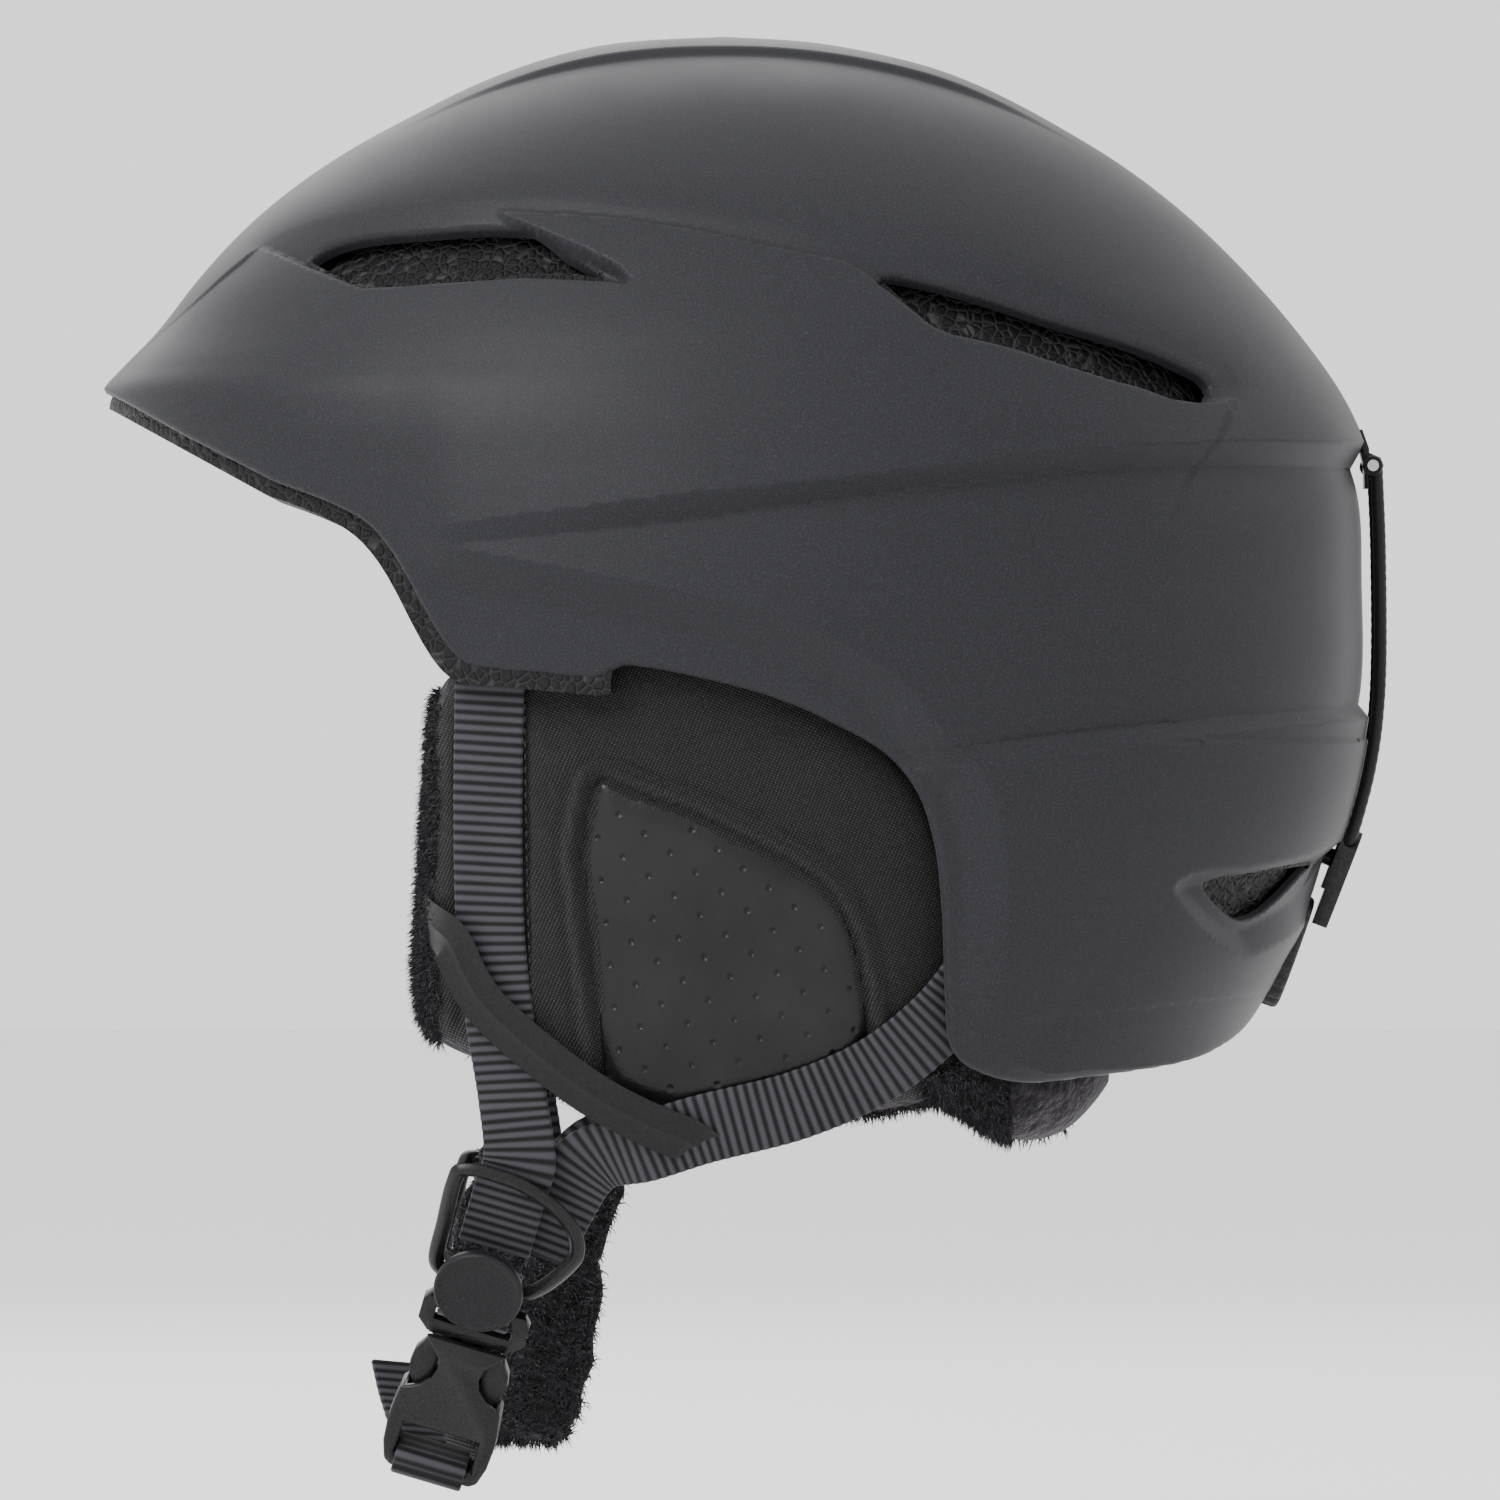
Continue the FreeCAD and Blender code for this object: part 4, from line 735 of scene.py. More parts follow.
def moulded_material(name, base, rough, spec=0.5, grain=0.12, scale=1800.0):
    """Satin moulded plastic or rubber with a fine spark texture."""
    m, tree, shader = material(name, base, rough, spec)
    at = object_coords(tree)
    spark = noise(tree, at, scale, 2.0)
    broad = noise(tree, at, 60.0, 2.0)
    ranges = texture(tree, "ShaderNodeMapRange", None, From_Min=0.3, From_Max=0.7,
                     To_Min=rough - 0.05, To_Max=rough + 0.06)
    tree.links.new(broad.outputs["Fac"], ranges.inputs["Value"])
    tree.links.new(ranges.outputs["Result"], shader.inputs["Roughness"])
    lighter = tuple(min(c * 1.8 + 0.006, 1) for c in base)
    tint(tree, shader, spark.outputs["Fac"], [(0.35, base), (0.8, lighter)])
    add_bump(tree, shader, [(spark.outputs["Fac"], grain, 0.0002)])
    return m


def elastic_material():
    m, tree, shader = material("smooth_elastic", (0.012, 0.012, 0.013), 0.48, 0.4, sheen=0.1)
    at = object_coords(tree)
    threads = noise(tree, at, 1500.0, 3.0)
    tint(tree, shader, threads.outputs["Fac"], [(0.3, (0.003, 0.003, 0.0035)), (0.75, (0.009, 0.009, 0.010))])
    add_bump(tree, shader, [(threads.outputs["Fac"], 0.3, 0.0002)])
    return m


def steel_material():
    m, tree, shader = material("brushed_pin", (0.42, 0.42, 0.44), 0.3, 0.5, metallic=1.0)
    drawn_out = object_coords(tree, (60, 3000, 3000))
    streaks = noise(tree, drawn_out, 1.0, 2.0)
    add_bump(tree, shader, [(streaks.outputs["Fac"], 0.2, 0.0001)])
    return m


FINISH = {
    "shell": shell_material(),
    "foam": foam_material(),
    "lining": knit_material(),
    "fleece": fleece_material(),
    "ear_fabric": weave_material(
        "ballistic_weave", 0.00072, (0.0015, 0.0015, 0.0015), (0.030, 0.028, 0.030), 0.42),
    "ear_leather": leather_material(),
    "webbing": webbing_material(),
    "hardware": moulded_material("satin_nylon", (0.005, 0.005, 0.0055), 0.3),
    "dial_rubber": moulded_material("moulded_rubber", (0.014, 0.014, 0.015), 0.55, 0.4, 0.3, 1200.0),
    "nylon": moulded_material("fit_band_nylon", (0.03, 0.03, 0.034), 0.4),
    "elastic": elastic_material(),
    "steel": steel_material(),
}
thread_finish = moulded_material("bonded_thread", (0.012, 0.011, 0.012), 0.5, 0.4, 0.4, 3000.0)

# ------------------------------------------------------------------ outer shell

def outline(points):
    return np.array(points, float)


RIM = np.vstack([
    [(-165, 76.5), (-140.1, 63.6), (-120, 52.3), (-101, 42.7)],
    curve2([(-101, 42.7), (-87.7, 37.6), (-80, 33.2), (-74.5, 26.5), (-64.1, 7.7),
            (-59.6, 2.9), (-54, 1.7)], 40)[1:],
    [(-40, 0.5), (-32, -0.4)],
    curve2([(-32, -0.4), (-29.5, 0.2), (-25.5, 2.4), (-20, 2.2), (6.2, -3.8), (21.4, -10.2), (32.8, -17),
            (39.7, -25.4), (43.5, -36.9), (45.3, -52.2), (46.2, -70), (47.5, -81), (49.9, -84.4),
            (55.3, -86.8), (62.1, -87.8), (72, -86.8), (82.2, -85.4), (97.9, -82.4), (109.4, -77),
            (116.5, -69), (121.5, -59.5), (127, -54)], 150)[1:],
    [(165, -54)],
])
FRONT_VENT = curve2([
    (-94.9, 92.1), (-92.6, 94.2), (-84.2, 96.9), (-63.2, 98.6), (-50.6, 98.8), (-45, 97.9), (-36.5, 92.6),
    (-30, 88.5), (-29.6, 87.2), (-31.2, 86.8), (-50.6, 87.3), (-62, 86.2), (-80.3, 86.1), (-83.6, 86.6),
    (-89.4, 89.6)], 120, closed=True)
REAR_VENT = curve2([
    (30.9, 86.8), (32.8, 87.6), (40.4, 86.5), (52.4, 83.5), (70.1, 77.8), (87.9, 71.9), (96.8, 68.1),
    (102.1, 65.1), (103.4, 62.8), (102.1, 60.7), (97.9, 59.8), (90.8, 61.6), (76, 66), (58.3, 71.6),
    (46, 74.6), (42.1, 76.4)], 120, closed=True)
NAPE_VENT = curve2([
    (102.5, -45.6), (104.3, -43.8), (110.5, -42.7), (127, -40.4), (128, -41.5), (125.7, -43.8),
    (120.6, -48.8), (115.4, -52.6), (110.9, -53.6), (107.6, -51.8)], 90, closed=True)
NAPE_VENT_NEAR = 27
# The groove that both upper vents open out of: its soft upper line and its crisp lower one.
GROOVE_TOP = outline([
    (-104.5, 94.6), (-102.1, 96.6), (-99.5, 97.9), (-92.2, 100.2), (-83.5, 101.7), (-69.6, 103.4),
    (-52.4, 104.3), (-39.1, 104.1), (-25.9, 102.3), (-8.2, 100.1), (9.3, 97.2), (25, 94.2),
    (48.6, 90.3), (68.3, 85.3), (83.1, 78.9), (97.9, 72.5), (105.9, 68.1), (109.3, 63.1), (107.8, 60.2),
])
GROOVE_LOW = outline([
    (107.8, 60.2), (101, 58.9), (93, 60), (78.2, 65.9), (68.3, 68.8), (48.6, 73.8), (43.8, 75.3),
    (38.8, 78.7), (25, 89.1), (23, 90.1), (9.3, 92.8), (-10.6, 97.2), (-25.9, 99.6), (-39.1, 100.8),
    (-51.3, 101.2), (-43.5, 98), (-33.8, 93.9), (-25.3, 89.5), (-22.6, 86.2), (-23.9, 85),
    (-29.2, 85.7), (-45.7, 86.6), (-52.4, 86.2), (-72.3, 85.2), (-81.5, 84.8), (-85.5, 86.1),
    (-95.5, 90.4), (-102.1, 93.5), (-104.5, 94.6),
])
# The ledge along the side, the rounded arch over the ear, the crease behind it and the vent recess.
LEDGE_TOP = curve2([
    (-69.7, 32), (-39.1, 35.9), (-8.2, 39.7), (5.1, 41.1), (31.3, 44), (80.7, 49.7), (111.2, 51.1),
    (142.1, 51.9)], 40)
LEDGE_LOW = curve2([
    (-68.7, 28.5), (-39.1, 31.2), (-8.2, 34.4), (5.1, 36.2), (41.1, 41.1), (80.7, 45.7), (111.2, 46.5),
    (142.1, 46.9)], 40)
ARCH = curve2([
    (-74.5, 31.8), (-65.6, 29.2), (-31.2, 22.5), (-8.2, 17.7), (5.1, 14.6), (11.5, 12.6), (26.3, 5.7),
    (36.2, -1.1), (42.2, -8.8), (47.1, -15.2), (51.2, -18.1), (54.6, -25), (57, -33.1), (58.3, -43.9),
    (57.9, -55.4), (57.2, -68.9), (57.2, -76.9), (59.9, -81.8), (66.7, -84.4), (72, -84.1),
    (97.9, -81.8), (122.2, -73.4)], 90)
LOWER_TOP = curve2([(46.6, -14.5), (64.1, -12.8), (94.8, -9.5), (139, -5.5), (146.5, -4.9)], 20)
LOWER_LOW = curve2([(50.6, -17.2), (74.9, -16.1), (94.8, -13), (139.7, -8.3), (146.5, -7.7)], 20)
NAPE_RECESS = curve2([
    (94.1, -45.1), (98.1, -42), (112.2, -40.4), (126.2, -37.6), (133.3, -34.9), (135.9, -36.5),
    (131.1, -46.4), (126.2, -52.2), (114.9, -58.7), (110.9, -59.8), (105.4, -57.9), (97.9, -51.3)],
    60, closed=True)
SHELL_FOOT = -91        # the height that the plain surface starts from, below the rim
SHELL_EDGE = 1.1        # the rounding of the rim and the vents' edges
SHELL_WALL = 1.9
GROOVE_WALL = 1.7       # how far the groove's lower wall runs in from its crisp edge
SPINE_HALF = 26.5       # half the width of the raised spine over the crown


def shell_relief(p):
    """How far the shell stands out from its plain surface; p is x, y, z."""
    q = p[:, 1:3]
    groove = np.vstack([GROOVE_TOP, GROOVE_LOW[1:-1]])
    hollow = is_inside(q, groove)
    top = line_distance(q, GROOVE_TOP)
    low = np.abs(line_distance(q, GROOVE_LOW))
    floor = np.minimum(0.34 * np.abs(top), 3.0)
    deep = np.minimum(floor, 1.7 * low)
    relief = np.where(hollow, -deep, 0.0)
    above = np.maximum(top, 0)
    relief += ~hollow * 1.1 * np.exp(-above / 13) * (1 - np.exp(-above / 5))

    above, below = line_distance(q, LEDGE_TOP), line_distance(q, LEDGE_LOW)
    share = np.clip(below / np.maximum(below - above, 1e-6), 0, 1)
    size = 0.75 * smooth(q[:, 0], -66, -4) + 0.25 * smooth(q[:, 0], -72, -55)
    falls = np.where(above > 0, np.exp(-np.maximum(above, 0) / 30), np.exp(-np.maximum(-below, 0) / 16))
    relief += (share * 4.4 - 2.2) * falls * size

    above, below = line_distance(q, LOWER_TOP), line_distance(q, LOWER_LOW)
    share = np.clip(below / np.maximum(below - above, 1e-6), 0, 1)
    falls = np.where(above > 0, np.exp(-np.maximum(above, 0) / 12), np.exp(-np.maximum(-below, 0) / 24))
    relief += (1.4 - share * 2.8) * falls * smooth(q[:, 0], 46, 62)

    arch = line_distance(q, ARCH)
    fade = smooth(q[:, 0], -76, -58) * (1 - 0.55 * smooth(q[:, 0], 90, 125))
    outside, under = np.maximum(arch, 0), np.maximum(-arch, 0)
    bulge = np.where(arch > 0, 2.6 * np.exp(-outside / 24), 2.6 - 0.5 * under)
    relief += np.maximum(bulge, -1.9) * fade

    nape = inside(q, NAPE_RECESS)
    relief -= np.clip(nape * 0.75, 0, 3.0)

    x = np.abs(p[:, 0])
    spine = smooth(SPINE_HALF - x, 0, 3.2) * (1 - smooth(q[:, 0], 40, 78)) * (p[:, 2] > 60)
    return relief + 1.7 * spine * smooth(q[:, 0], -78, -26)


def half_shell_grid():
    """The left half of the plain surface, with its outward normals."""
    columns, rows = 400, 330
    low = np.interp(SHELL_FOOT, LEVELS[:, 0], RUN)
    runs = np.linspace(low, TOP_RUN - 0.4, rows)
    level = level_at(runs)
    turns = np.linspace(0, math.pi, columns)
    grid = np.stack([plan_point([part[i] for part in level], turns) for i in range(rows)])
    verts = grid.reshape(-1, 3)
    i, j = np.meshgrid(np.arange(rows - 1), np.arange(columns - 1), indexing="ij")
    a = (i * columns + j).ravel()
    b, c, d = a + 1, a + columns + 1, a + columns
    odd = ((i + j) % 2).ravel().astype(bool)[:, None]
    tris = np.vstack([np.where(odd, np.stack([a, c, b], 1), np.stack([a, d, b], 1)),
                      np.where(odd, np.stack([a, d, c], 1), np.stack([b, d, c], 1))])
    normals = vertex_normals(verts, tris)
    if normals[len(verts) // 2] @ (verts[len(verts) // 2] - [0, 0, 20]) < 0:
        tris, normals = tris[:, ::-1], -normals
    seam = np.abs(verts[:, 0]) < 1e-6
    normals[seam, 0] = 0
    return np.hstack([verts, unit(normals)]), tris


def make_shell():
    data, tris = half_shell_grid()
    data, tris = split_mesh(data, tris, line_distance(data[:, 1:3], RIM, 400.0))
    for loop in (FRONT_VENT, REAR_VENT):
        data, tris = split_mesh(data, tris, -inside(data[:, 1:3], loop))
    nape = -inside(data[:, 1:3], NAPE_VENT)
    data, tris = split_mesh(data, tris, np.maximum(nape, NAPE_VENT_NEAR - np.abs(data[:, 0])))
    spoke = data[:, :3] - DIAL_FACE
    away = np.linalg.norm(spoke - (spoke @ DIAL_OUT)[:, None] * DIAL_OUT, axis=1) - NOTCH_RADIUS
    data, tris = split_mesh(data, tris, np.where(data[:, 1] > 60, away, 5.0))
    # the mesh follows each crisp line exactly
    for line, at in ((GROOVE_LOW, 0.0), (GROOVE_LOW, GROOVE_WALL), (LEDGE_TOP, 0.0), (LEDGE_LOW, 0.0),
                     (ARCH, 0.0), (LOWER_TOP, 0.0), (LOWER_LOW, 0.0)):
        signed = line_distance(data[:, 1:3], line)
        data, tris = split_mesh(data, tris, signed + at, both=True)
    verts, normals = data[:, :3], unit(data[:, 3:])
    edges = boundary_edges(tris)
    on_seam = (np.abs(verts[edges, 0]) < 1e-6).all(1)
    edges = edges[~on_seam]
    rim_points, index = np.unique(edges, return_inverse=True)
    index = index.reshape(-1, 2)
    q = verts[:, 1:3]
    gap = np.abs(line_distance(q, RIM, 8.0))
    for loop in (FRONT_VENT, REAR_VENT):
        gap = np.minimum(gap, np.abs(inside(q, loop, 8.0)) * 1.6)
    lift = shell_relief(verts)
    short = np.clip(SHELL_EDGE - gap, 0, SHELL_EDGE)
    lift -= SHELL_EDGE - np.sqrt(np.maximum(SHELL_EDGE**2 - short**2, 0))
    outer = verts + normals * lift[:, None]
    layers = [outer]
    faces = tris.tolist()
    previous = rim_points
    offset = len(outer)
    for depth in (SHELL_WALL * 0.5, SHELL_WALL):
        layers.append(outer[rim_points] - normals[rim_points] * depth)
        current = np.arange(offset, offset + len(rim_points))
        faces += np.stack([previous[index[:, 1]], previous[index[:, 0]],
                           current[index[:, 0]], current[index[:, 1]]], 1).tolist()
        previous = current
        offset += len(rim_points)
    left = np.vstack(layers)
    right, right_faces = flip_x(left, faces)
    verts, faces = joined((left, faces), (right, right_faces))
    obj = new_object("shell_outer", verts, faces, FINISH["shell"])
    bm = bmesh.new()
    bm.from_mesh(obj.data)
    seam = [v for v in bm.verts if abs(v.co.x) < 2e-6]
    bmesh.ops.remove_doubles(bm, verts=seam, dist=4e-6)
    bm.to_mesh(obj.data)
    bm.free()
    obj.data.polygons.foreach_set("use_smooth", [True] * len(obj.data.polygons))
    return place(obj, "outer_shell")


# The fit dial's own frame: its face's middle, and the way out of it.
DIAL_OUT = np.array([0, math.cos(math.radians(20)), -math.sin(math.radians(20))])
DIAL_FACE = np.array([0, 123.6, -60.5])
DIAL_RADIUS = 13.0
DIAL_THICK = 6.6
NOTCH_RADIUS = DIAL_RADIUS + 2.2

make_shell()

# ------------------------------------------------------------------ the left buckle side's frame
# Across is towards the back of the head, outward is out of the strap's face, along runs down it.
STRAP_START = np.array([73.0, -47.0, -104.0])
ALONG = unit([-0.5, -0.247, -0.83])
ACROSS = unit([0, 0.958, -0.285])
OUTWARD = unit(np.cross(ALONG, ACROSS))


def chin_point(x, y, z):
    """A point of the chin strap's frame."""
    return STRAP_START + ACROSS * x + OUTWARD * y + ALONG * z


# ------------------------------------------------------------------ webbing

RIB_PITCH = 2.2
WEB_WIDE, WEB_THICK = 16.0, 1.4
WEB_SECTION = np.array([(-1, 0), (-0.985, 0.34), (-0.94, 0.5), (-0.6, 0.5), (0, 0.5), (0.6, 0.5), (0.94, 0.5),
                        (0.985, 0.34), (1, 0), (0.985, -0.34), (0.94, -0.5), (0, -0.5), (-0.94, -0.5),
                        (-0.985, -0.34)])


def webbing(path, width=WEB_WIDE, closed=False):
    """A ribbed strap along a path of (middle, outward), and the painted light at each of its points: painted
    highlight on the rib crowns, painted shade in the valleys.
    """
    middle, out = stations(path, RIB_PITCH / 6)
    if closed:
        middle, out = middle[:-1], out[:-1]
    run = np.concatenate([[0], np.cumsum(np.linalg.norm(np.diff(middle, axis=0), axis=1))])
    rib = np.abs(np.sin(np.pi * run / RIB_PITCH)) ** 0.75
    section = WEB_SECTION * [width / 2, WEB_THICK]
    verts, faces = sweep(middle, out, section, 1.0 - 0.012 * (1 - rib), 0.66 + 0.34 * rib, closed)
    # the rib profile stored for the material: crowns painted lighter as highlight, valleys painted darker as
    # shade
    painted_rib_light = np.repeat(rib, len(section))
    return verts, faces, painted_rib_light


def web_piece(name, path, **options):
    verts, faces, painted_rib_light = webbing(path, **options)
    obj = new_object(name, verts, faces, FINISH["webbing"])
    shade_value(obj, "rib", painted_rib_light)
    return obj


def both_sides(name, node_name, path):
    """A left strap and its mirror image on the right."""
    for side, flip in (("left", 1), ("right", -1)):
        way = [(np.asarray(at) * [flip, 1, 1], np.asarray(out) * [flip, 1, 1]) for at, out in path]
        obj = web_piece(side + "_" + name, way)
        place(obj, side + "_" + node_name)


FRONT_STRAP = [(-53.3, 10), (-53.5, -2), (-53.9, -30), (-53.4, -55), (-51.3, -75), (-48.6, -92)]
REAR_STRAP = [(62, -52), (53, -63), (44.5, -73.5), (31, -84.5), (14, -92.3)]
FRONT_DEEP, REAR_DEEP = 8.1, 6.7
HUNG_END = 24.0


def on_side(y, z, inset):
    return side_point(y, z, inset), side_normal(y, z, inset)


front_path = [on_side(y, z, FRONT_DEEP) for y, z in FRONT_STRAP]
front_path += [(chin_point(0, 0, z), OUTWARD) for z in (1, 8, 16, HUNG_END)]
rear_path = [on_side(y, z, REAR_DEEP) for y, z in REAR_STRAP]
rear_path += [on_side(-8, -98, REAR_DEEP + 0.2), on_side(-20, -101.8, REAR_DEEP + 0.7)]
rear_path += [(chin_point(x, y, z), OUTWARD)
              for x, y, z in ((14.8, -3, -2), (10.7, -2.5, 12), (9.4, -2.4, HUNG_END))]
both_sides("front_webbing", "front_strap", front_path)
both_sides("rear_webbing", "rear_strap", rear_path)

# ------------------------------------------------------------------ ear pads

EAR_PAD = curve2([
    (-65, -3.4), (-60, 2.5), (-50, 6), (-40, 7.5), (-31, 8.5), (-22, 10), (-15, 10.5),
    (-8, 9.5), (5, 6), (19.3, -3.3), (31.2, -12.3), (41, -25), (47.4, -42.6), (49.5, -60), (50.3, -76),
    (48.5, -89), (36, -93.5), (18, -95.5), (0, -97.5), (-20, -96), (-36, -91), (-50, -84.5), (-60, -81.5),
    (-67, -77), (-69.4, -68), (-68.6, -45), (-67, -20)], 150, closed=True)
EAR_PATCH = np.vstack([
    [(-33.6, -38), (-32.4, -30)],
    curve2([(-31.2, -23.6), (-29.6, -21.7), (-27.4, -22), (-21.3, -24.7), (-9, -29.2), (6.2, -36.9),
            (17.6, -43.8), (23, -50.6), (26.3, -59.7), (28, -70), (28.6, -80)], 60),
    curve2([(28.4, -82), (27, -84.6), (18, -88.4), (0, -92.2), (-15, -93.2),
            (-26.5, -91), (-28.4, -88.5)], 30),
    [(-29.6, -78), (-31.6, -58)],
])
EAR_TOP, EAR_DEEP = 9.0, 25.0
DOT_ORIGIN = np.array([-30.1, -34.3])
DOT_STEPS = np.array([(10.2, 0.84), (5.56, -4.19)])      # from one perforation to the next, two ways
DOT_RADIUS = 0.62


def pad_relief(q, depth):
    """The ear pad's puffed face, its sewn seams and its creases."""
    p = np.column_stack([q, np.zeros(len(q))])
    full = 1.5 * (1 - np.exp(-np.maximum(depth, 0) / 7)) - 0.5
    patch = -inside(q, EAR_PATCH, 30.0)
    piping = 1.4 * np.exp(-((patch - 2.6) / 1.25) ** 2) - 1.1 * np.exp(-((patch - 0.2) / 1.1) ** 2)
    piping -= 0.5 * np.exp(-((patch - 5.0) / 0.9) ** 2)
    seam = np.exp(-((q[:, 0] + 44.6 - 0.02 * q[:, 1]) / 1.1) ** 2) * 0.7
    under_strap = smooth(8.6 - np.abs(q[:, 0] + 53.4), 0, 1.5) * 0.9
    wrinkle = 0.22 * ripple(p, 17, 4) + 0.12 * ripple(p * [1, 2.2, 1], 8, 7)
    return full + piping - seam - under_strap * (q[:, 1] > -86) + wrinkle * (patch > 0.5)


def patch_relief(q, depth):
    """The leather-look panel: puffed between its seams, with rows of perforations."""
    puff = 1.6 * (1 - np.exp(-np.maximum(depth, 0) / 2.4))
    steps = (q - DOT_ORIGIN) @ np.linalg.inv(DOT_STEPS)
    near = np.round(steps)
    nearest = np.full(len(q), 9.0)
    for da in (-1, 0, 1):
        for db in (-1, 0, 1):
            at = (near + [da, db]) @ DOT_STEPS + DOT_ORIGIN
            nearest = np.minimum(nearest, np.linalg.norm(q - at, axis=1))
    hole = np.exp(-((nearest / DOT_RADIUS) ** 4)) * (depth > 1.6)
    lip = np.exp(-(((nearest - DOT_RADIUS - 0.35) / 0.3) ** 2)) * (depth > 1.6)
    return puff - 0.55 * hole + 0.07 * lip + 0.1 * ripple(np.column_stack([q, q[:, 0]]), 14, 12)


STITCH_PITCH, STITCH_LONG, STITCH_RADIUS = 2.6, 1.9, 0.27


def stitches(line, inset, closed=True):
    """A row of stitches along a side-view line on the pad's face."""
    length = np.linalg.norm(np.diff(line, axis=0), axis=1).sum()
    points = curve2(line, int(length / STITCH_PITCH), closed)
    at = side_point(points[:, 0], points[:, 1], inset)
    out = side_normal(points[:, 0], points[:, 1], inset)
    ahead = heading(at, closed)
    across = np.cross(ahead, out)
    ring = [(math.cos(t), math.sin(t)) for t in np.linspace(0, 2 * math.pi, 6, endpoint=False)]
    parts = []
    for c, a, s, o in zip(at, ahead, across, out):
        verts = [c - a * STITCH_LONG / 2 - o * STITCH_RADIUS]
        for along in (-0.28, 0.28):
            verts += [c + a * STITCH_LONG * along + (s * x + o * y) * STITCH_RADIUS for x, y in ring]
        verts.append(c + a * STITCH_LONG / 2 - o * STITCH_RADIUS)
        faces = [(0, 1 + (k + 1) % 6, 1 + k) for k in range(6)]
        faces += [(1 + k, 1 + (k + 1) % 6, 7 + (k + 1) % 6, 7 + k) for k in range(6)]
        faces += [(13, 7 + k, 7 + (k + 1) % 6) for k in range(6)]
        parts.append((np.array(verts), faces))
    return joined(*parts)


def make_ear_pads():
    pad = pillow(EAR_PAD, 5.0, 1.15, EAR_TOP, EAR_DEEP, pad_relief, 9)
    patch = pillow(EAR_PATCH, 1.0, 0.36, EAR_TOP - 0.4, EAR_TOP + 2.2, patch_relief, 5)
    outward = 1.0 if turns_left(EAR_PATCH) else -1.0
    rows = [stitches(moved_out(EAR_PATCH, outward * gap), EAR_TOP - lift)
            for gap, lift in ((1.7, 0.75), (3.6, 0.9))]
    seam = np.array([(-45.9, -6), (-45.6, -30), (-44.9, -60), (-43.4, -86)])
    rows.append(stitches(seam, EAR_TOP - 0.75, closed=False))
    sewing = joined(*rows)
    # the pile lining shows along the pad's front edge and on its inner face
    tufts = fuzz(pad[0], pad[1], 15000, 2.6, 21, lambda at, n: (
        (n[:, 0] < -0.3) * 0.25 + (at[:, 1] < -64.5) * (n[:, 0] < 0.75) * 3.0
        + (at[:, 2] < -88) * (n[:, 0] < 0.3) * 1.5))
    for side in ("left", "right"):
        verts, faces = joined(sided(side, pad), sided(side, tufts))
        obj = new_object(side + "_ear_cushion", verts, faces, FINISH["ear_fabric"])
        obj.data.materials.append(FINISH["fleece"])
        count = len(pad[1])
        middles = np.array([np.mean([verts[i] for i in f], axis=0) for f in faces[:count]])
        depth = side_x(middles[:, 1], middles[:, 2], 0) - np.abs(middles[:, 0])
        lined = (depth > 13.5) | (middles[:, 1] < -67.2)
        index = np.concatenate([lined.astype(int), np.ones(len(faces) - count, int)])
        obj.data.polygons.foreach_set("material_index", index)
        place(obj, side + "_ear_pad")
        verts, faces = sided(side, patch)
        panel = new_object(side + "_ear_panel", verts, faces, FINISH["ear_leather"])
        place(panel, side + "_ear_patch")
        verts, faces = sided(side, sewing)
        thread = new_object(side + "_ear_stitching", verts, faces, thread_finish)
        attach(thread, "helmet")


make_ear_pads()

# ------------------------------------------------------------------ elastic keeper bands

KEEPER = [(-62, -57.5), (-59, -64), (-54.5, -71), (-43, -81.5), (-30, -91), (-18, -97.2), (-11.5, -99.8)]


def make_keepers():
    path = [(side_point(y, z, EAR_TOP + deep), unit(side_normal(y, z, 8) * [lean, 1, 1] + [0, push, 0]))
            for y, z, deep, lean, push in ((-64.5, -47, 14.0, 0.2, -1.0), (-68.2, -50, 8.0, 0.2, -1.0),
                                           (-66.6, -53, 0.5, 0.7, -0.6))]
    path += [on_side(y, z, 5.1) for y, z in KEEPER]
    path += [(side_point(y, z, EAR_TOP + deep), out) for y, z, deep, out in (
        (-6.4, -102.0, -0.5, (0.6, 0, -0.8)), (-3.0, -102.4, 5.5, (0.1, 0, -1)),
        (-1.5, -100.2, 12.0, (-0.5, 0, -0.85)))]
    middle, out = stations(path, 1.2)
    section = round_section(18, 5.2, 0.5, 0.55)
    band = sweep(middle, out, section)
    for side in ("left", "right"):
        obj = new_object(side + "_keeper_band", *sided(side, band), FINISH["elastic"], creases=60)
        place(obj, side + "_strap_keeper")


make_keepers()

# ------------------------------------------------------------------ strap dividers

RING_OUTLINE = [(-14, 9), (-13.3, 5.2), (-9.4, 3.4), (-3, 3.2), (3, 3.8), (12, 7.4), (17.6, 12.6),
                (19.4, 18.6),
                (17.2, 24.6), (12.8, 31), (9.6, 33.4), (-9.6, 33.4), (-12.6, 31), (-13.6, 20)]
BUTTON_AT = (-0.5, 31.5)


